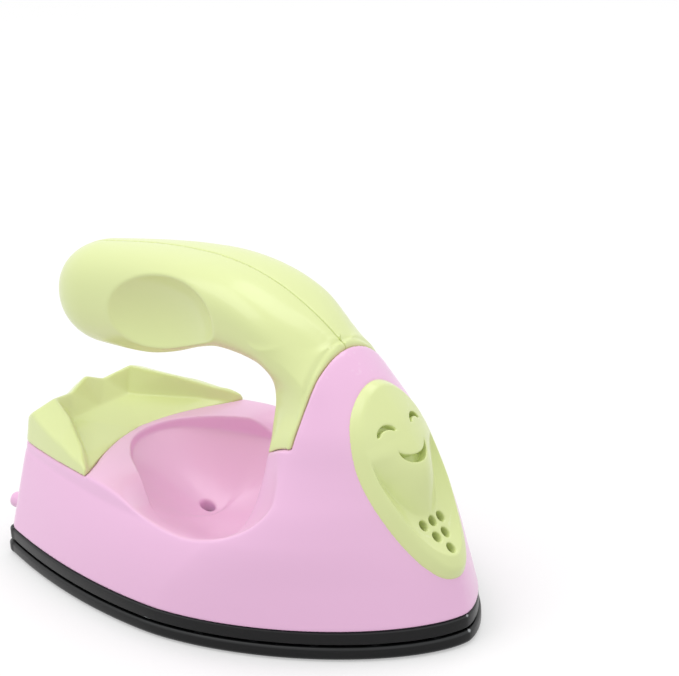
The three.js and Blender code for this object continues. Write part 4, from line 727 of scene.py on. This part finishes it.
def ring_loft(name, sections, close=True):
    """A closed solid of rings of one count; sections are (ring, z)."""
    count = len(sections[0][0])
    points = np.concatenate([np.column_stack([r, np.full(len(r), z)]) for r, z in sections])
    faces = []
    i = np.arange(count)
    nxt = (i + 1) % count
    levels = len(sections)
    for j in range(levels if not close else levels - 1):
        k = (j + 1) % levels
        faces.append(np.stack([j * count + i, j * count + nxt, k * count + nxt, k * count + i], 1))
    me = bpy.data.meshes.new(name)
    polys = np.concatenate(faces).tolist()
    if close:
        polys.append(list(range(count))[::-1])
        polys.append([(levels - 1) * count + q for q in range(count)])
    me.from_pydata((points * MM).tolist(), [], polys)
    me.validate()
    for p in me.polygons:
        p.use_smooth = len(p.vertices) == 4
    return linked(name, me)


def round_profile(z0, z1, r0, r1, steps=5):
    """Insets and heights of a plate's edge from z0 up to z1, rounded by r0 below and r1 above."""
    out = []
    for k in range(steps + 1):
        a = math.pi / 2 * k / steps
        out.append((r0 * (1 - math.sin(a)), z0 + r0 * (1 - math.cos(a))))
    for k in range(steps + 1):
        a = math.pi / 2 * k / steps
        out.append((r1 * (1 - math.cos(a)), z1 - r1 * (1 - math.sin(a))))
    return out


def edge_tabs(ring):
    """Spacer tabs in the groove, at an even pitch along the edge."""
    line = inset_ring(ring, TAB_IN)
    nxt = np.roll(line, -1, 0)
    seg = np.linalg.norm(nxt - line, axis=1)
    run = np.concatenate([[0], np.cumsum(seg)])
    count = round(run[-1] / TAB_PITCH)
    sides = [(0, 3, 2, 1), (4, 5, 6, 7), (0, 1, 5, 4), (1, 2, 6, 5), (2, 3, 7, 6), (3, 0, 4, 7)]
    points, faces = [], []
    for i in range(count):
        at = (i + 0.5) / count * run[-1]
        k = int(np.searchsorted(run, at, "right")) - 1
        along = (nxt[k] - line[k]) / seg[k]
        inward = np.array([-along[1], along[0]])
        spot = line[k] + along * (at - run[k])
        base = len(points)
        for z in (PLATE_TOP - 0.05, SHIELD_BASE + 0.05):
            for a, b in ((-0.5, 0), (0.5, 0), (0.5, 1), (-0.5, 1)):
                points.append([*(spot + along * a * TAB_LONG + inward * b * TAB_DEEP), z])
        faces += [[base + c for c in side] for side in sides]
    return make_mesh("spacer_tabs", np.array(points), faces)


# Materials
def material(name, colour, rough, detail, bump, coat=0.0, metal=0.0, tint=0.04, edge_wear_and_highlight=None, gloss=0.5,
             edges=(0.58, 0.7), wear_and_highlight_share=0.35):
    """A moulded or metal finish: soft colour drift, fine grain in the roughness, and edges painted paler,
    partly as wear and partly as a painted highlight.

    Edges are the two Pointiness values between which the pale edge paint grows, and the last argument is its
    share."""
    m = bpy.data.materials.new(name)
    m.use_nodes = True
    t = m.node_tree
    t.nodes.clear()
    out = t.nodes.new("ShaderNodeOutputMaterial")
    b = t.nodes.new("ShaderNodeBsdfPrincipled")
    t.links.new(b.outputs["BSDF"], out.inputs["Surface"])
    b.inputs["Metallic"].default_value = metal
    b.inputs["Coat Weight"].default_value = coat
    b.inputs["Coat Roughness"].default_value = 0.12
    b.inputs["Specular IOR Level"].default_value = gloss
    place = t.nodes.new("ShaderNodeTexCoord")
    drift, fine = t.nodes.new("ShaderNodeTexNoise"), t.nodes.new("ShaderNodeTexNoise")
    for noise, scale, octaves in ((drift, 28, 2), (fine, detail, 4)):
        noise.inputs["Scale"].default_value = scale
        noise.inputs["Detail"].default_value = octaves
        t.links.new(place.outputs["Object"], noise.inputs["Vector"])
    shade = t.nodes.new("ShaderNodeMix")
    shade.data_type = "RGBA"
    shade.inputs["A"].default_value = [c * (1 - tint) for c in colour] + [1]
    shade.inputs["B"].default_value = [min(1, c * (1 + tint)) for c in colour] + [1]
    t.links.new(drift.outputs["Fac"], shade.inputs["Factor"])
    colour_out = shade.outputs["Result"]
    # Paler convex edges by Pointiness: some wear, and a painted highlight along the edges
    if edge_wear_and_highlight:
        geo = t.nodes.new("ShaderNodeNewGeometry")
        ramp = t.nodes.new("ShaderNodeValToRGB")
        for k in (0, 1):
            ramp.color_ramp.elements[k].position = edges[k]
            ramp.color_ramp.elements[k].color = (k, k, k, 1)
        t.links.new(geo.outputs["Pointiness"], ramp.inputs["Fac"])
        edge = t.nodes.new("ShaderNodeMix")
        edge.data_type = "RGBA"
        edge.inputs["B"].default_value = list(edge_wear_and_highlight) + [1]
        t.links.new(colour_out, edge.inputs["A"])
        part = t.nodes.new("ShaderNodeMath")
        part.operation = "MULTIPLY"
        part.inputs[1].default_value = wear_and_highlight_share
        t.links.new(ramp.outputs["Color"], part.inputs[0])
        t.links.new(part.outputs["Value"], edge.inputs["Factor"])
        colour_out = edge.outputs["Result"]
    t.links.new(colour_out, b.inputs["Base Color"])
    grain = t.nodes.new("ShaderNodeMapRange")
    grain.inputs["To Min"].default_value = rough * 0.85
    grain.inputs["To Max"].default_value = min(1, rough * 1.15)
    t.links.new(fine.outputs["Fac"], grain.inputs["Value"])
    t.links.new(grain.outputs["Result"], b.inputs["Roughness"])
    relief = t.nodes.new("ShaderNodeBump")
    relief.inputs["Strength"].default_value = bump
    relief.inputs["Distance"].default_value = 0.00005
    t.links.new(fine.outputs["Fac"], relief.inputs["Height"])
    t.links.new(relief.outputs["Normal"], b.inputs["Normal"])
    return m


def linear(hex_colour):
    """Linear colour from a screen colour in hex."""
    out = []
    for k in (0, 2, 4):
        c = int(hex_colour[k:k + 2], 16) / 255
        out.append(c / 12.92 if c <= 0.04045 else ((c + 0.055) / 1.055) ** 2.4)
    return out


MOULDED = {"rough": 0.3, "detail": 1500, "bump": 0.12, "coat": 0.3, "tint": 0.012}
# Pink and green edges are painted paler: some wear, and a painted highlight along creases and rims
pink = material("pink_plastic", linear("F4C2E6"), edge_wear_and_highlight=linear("FBD9F1"), **MOULDED)
green = material("green_plastic", linear("E1EBA6"), edge_wear_and_highlight=linear("EEF5CC"), **MOULDED)
# The black's pale edges are a painted highlight along the rounded sole plate and shield edges, with some wear
black = material("black_coating", linear("0b0c0d"), 0.3, 2600, 0.2, tint=0.1, edge_wear_and_highlight=linear("c4c8ca"),
                 gloss=0.25, edges=(0.52, 0.62), wear_and_highlight_share=0.7)
steel = material("plated_steel", linear("b9bdc1"), 0.28, 3000, 0.25, metal=1.0, tint=0.05)
brass = material("brass_can", linear("c6a763"), 0.3, 3000, 0.25, metal=1.0, tint=0.06)
ceramic = material("white_ceramic", linear("e8e4da"), 0.5, 2200, 0.3, tint=0.03)
sleeve = material("glass_sleeve", linear("e4e4df"), 0.7, 4200, 0.8, tint=0.05)

# Pieces
dress(make_mesh("housing_skin", *housing()), pink, "housing", "body_shell")
dress(make_mesh("deck_skin", *deck()), green, "trim", "rear_deck")
dress(make_mesh("badge_skin", *badge()), green, "trim", "front_badge")
dress(make_mesh("handle_skin_left", *handle_half(1)), green, "grip", "handle_left")
dress(make_mesh("handle_skin_right", *handle_half(-1)), green, "grip", "handle_right")

outline = sole_outline(90)
sole_rings = [(inset_ring(outline, i), z) for i, z in round_profile(0, PLATE_TOP, 0.9, 0.6)]
dress(ring_loft("sole_plate_skin", sole_rings), black, "sole", "soleplate")
shield_ring = inset_ring(outline, INSET)
shield_rings = [(inset_ring(shield_ring, i), z) for i, z in round_profile(SHIELD_BASE, SHIELD_TOP, 0.3, 0.45)]
shield_rings += [(inset_ring(shield_ring, SHIELD_BAND), z) for z in (SHIELD_TOP, SHIELD_BASE)]
shield = ring_loft("shield_skin", shield_rings, close=False)
dress(shield, black, "shield", "heat_shield")
tabs = edge_tabs(outline)
for p in tabs.data.polygons:
    p.use_smooth = False
dress(tabs, black, "shield")

# Pieces carried over from the CAD as they are
FINISH = {
    "handle_screw_rear": steel, "handle_screw_front": steel, "dish_screw": steel, "sole_screw_right": steel,
    "sole_screw_left": steel, "sole_screw_nose": steel, "heater_element": steel, "heater_clamp_left": steel,
    "heater_clamp_right": steel, "thermostat": brass, "thermal_fuse": steel, "fuse_clip": steel,
    "terminal_block": ceramic, "terminal_bracket": steel, "wire_left": sleeve, "wire_right": sleeve,
}
for node, finish in FINISH.items():
    ob = frame["nodes"][node]
    if not ob.data.materials:
        ob.data.materials.append(finish)
    for k in range(len(ob.data.materials)):
        ob.data.materials[k] = finish

# Floor, light and camera
FLOOR_GLOW = 0.38


def seen_ray(t, strength=FLOOR_GLOW):
    """A strength for rays from the camera, and for those that metal and glass send on."""
    path = t.nodes.new("ShaderNodeLightPath")
    out = path.outputs["Is Camera Ray"]
    for name in ("Is Glossy Ray", "Is Transmission Ray"):
        either = t.nodes.new("ShaderNodeMath")
        either.operation = "MAXIMUM"
        t.links.new(out, either.inputs[0])
        t.links.new(path.outputs[name], either.inputs[1])
        out = either.outputs["Value"]
    scale = t.nodes.new("ShaderNodeMath")
    scale.operation = "MULTIPLY"
    scale.inputs[1].default_value = strength
    t.links.new(out, scale.inputs[0])
    return scale.outputs["Value"]


def stage_floor():
    me = bpy.data.meshes.new("floor")
    r = 1.5
    me.from_pydata([(-r, -r, -0.0002), (r, -r, -0.0002), (r, r, -0.0002), (-r, r, -0.0002)], [], [(0, 1, 2, 3)])
    ob = linked("floor", me)
    m = bpy.data.materials.new("floor_paint")
    m.use_nodes = True
    t = m.node_tree
    b = t.nodes["Principled BSDF"]
    b.inputs["Base Color"].default_value = (0.6, 0.6, 0.6, 1)
    b.inputs["Roughness"].default_value = 0.9
    b.inputs["Specular IOR Level"].default_value = 0.1
    glow = t.nodes.new("ShaderNodeEmission")
    t.links.new(seen_ray(t), glow.inputs["Strength"])
    join = t.nodes.new("ShaderNodeAddShader")
    t.links.new(b.outputs["BSDF"], join.inputs[0])
    t.links.new(glow.outputs["Emission"], join.inputs[1])
    t.links.new(join.outputs["Shader"], t.nodes["Material Output"].inputs["Surface"])
    ob.data.materials.append(m)
    return ob


def lamp(name, place, aim, size, power):
    data = bpy.data.lights.new(name, "AREA")
    data.shape = "RECTANGLE"
    data.size, data.size_y = size
    data.energy = power
    ob = linked(name, data)
    ob.location = place
    ob.rotation_euler = (Vector(aim) - Vector(place)).to_track_quat("-Z", "Y").to_euler()
    return ob


def world():
    w = bpy.data.worlds.new("studio")
    bpy.context.scene.world = w
    w.use_nodes = True
    t = w.node_tree
    t.nodes.clear()
    out = t.nodes.new("ShaderNodeOutputWorld")
    ambient = t.nodes.new("ShaderNodeBackground")
    ambient.inputs["Color"].default_value = (1, 1, 1, 1)
    ambient.inputs["Strength"].default_value = 0.8
    shown = t.nodes.new("ShaderNodeBackground")
    shown.inputs["Color"].default_value = (1, 1, 1, 1)
    shown.inputs["Strength"].default_value = 1.0
    join = t.nodes.new("ShaderNodeMixShader")
    t.links.new(seen_ray(t, 1.0), join.inputs["Fac"])
    t.links.new(ambient.outputs["Background"], join.inputs[1])
    t.links.new(shown.outputs["Background"], join.inputs[2])
    t.links.new(join.outputs["Shader"], out.inputs["Surface"])


stage_floor()
world()
lamp("key", (-0.3, -0.38, 0.85), (0, 0, 0.02), (0.7, 0.7), 2.1)
lamp("fill", (0.65, -0.25, 0.45), (0, 0, 0.03), (0.5, 0.6), 0.2)
lamp("top", (0.0, 0.25, 0.8), (0, 0, 0.03), (0.6, 0.4), 1.2)

# Camera of the standing iron in the photograph, in pixels of the photograph and metres
PHOTO_WIDE, FOCAL_PX, CENTRE_PX, SENSOR_MM = 679, 2294.3, 349.2, 36
right = Vector((0.76913, 0.63713, -0.05011))
down = Vector((0.19094, -0.30391, -0.93337))
ahead = Vector((-0.60991, 0.70831, -0.3554))
stand = Vector((0.27647, -0.29217, 0.20067))
camera_data = bpy.data.cameras.new("camera")
camera_data.lens = FOCAL_PX / PHOTO_WIDE * SENSOR_MM
camera_data.shift_x = (PHOTO_WIDE / 2 - CENTRE_PX) / PHOTO_WIDE
camera_data.clip_start = 0.01
camera = linked("camera", camera_data)
camera.matrix_world = Matrix([(right[i], -down[i], -ahead[i], stand[i]) for i in range(3)] + [(0, 0, 0, 1)])
bpy.context.scene.camera = camera
bpy.context.scene.view_settings.view_transform = "Standard"
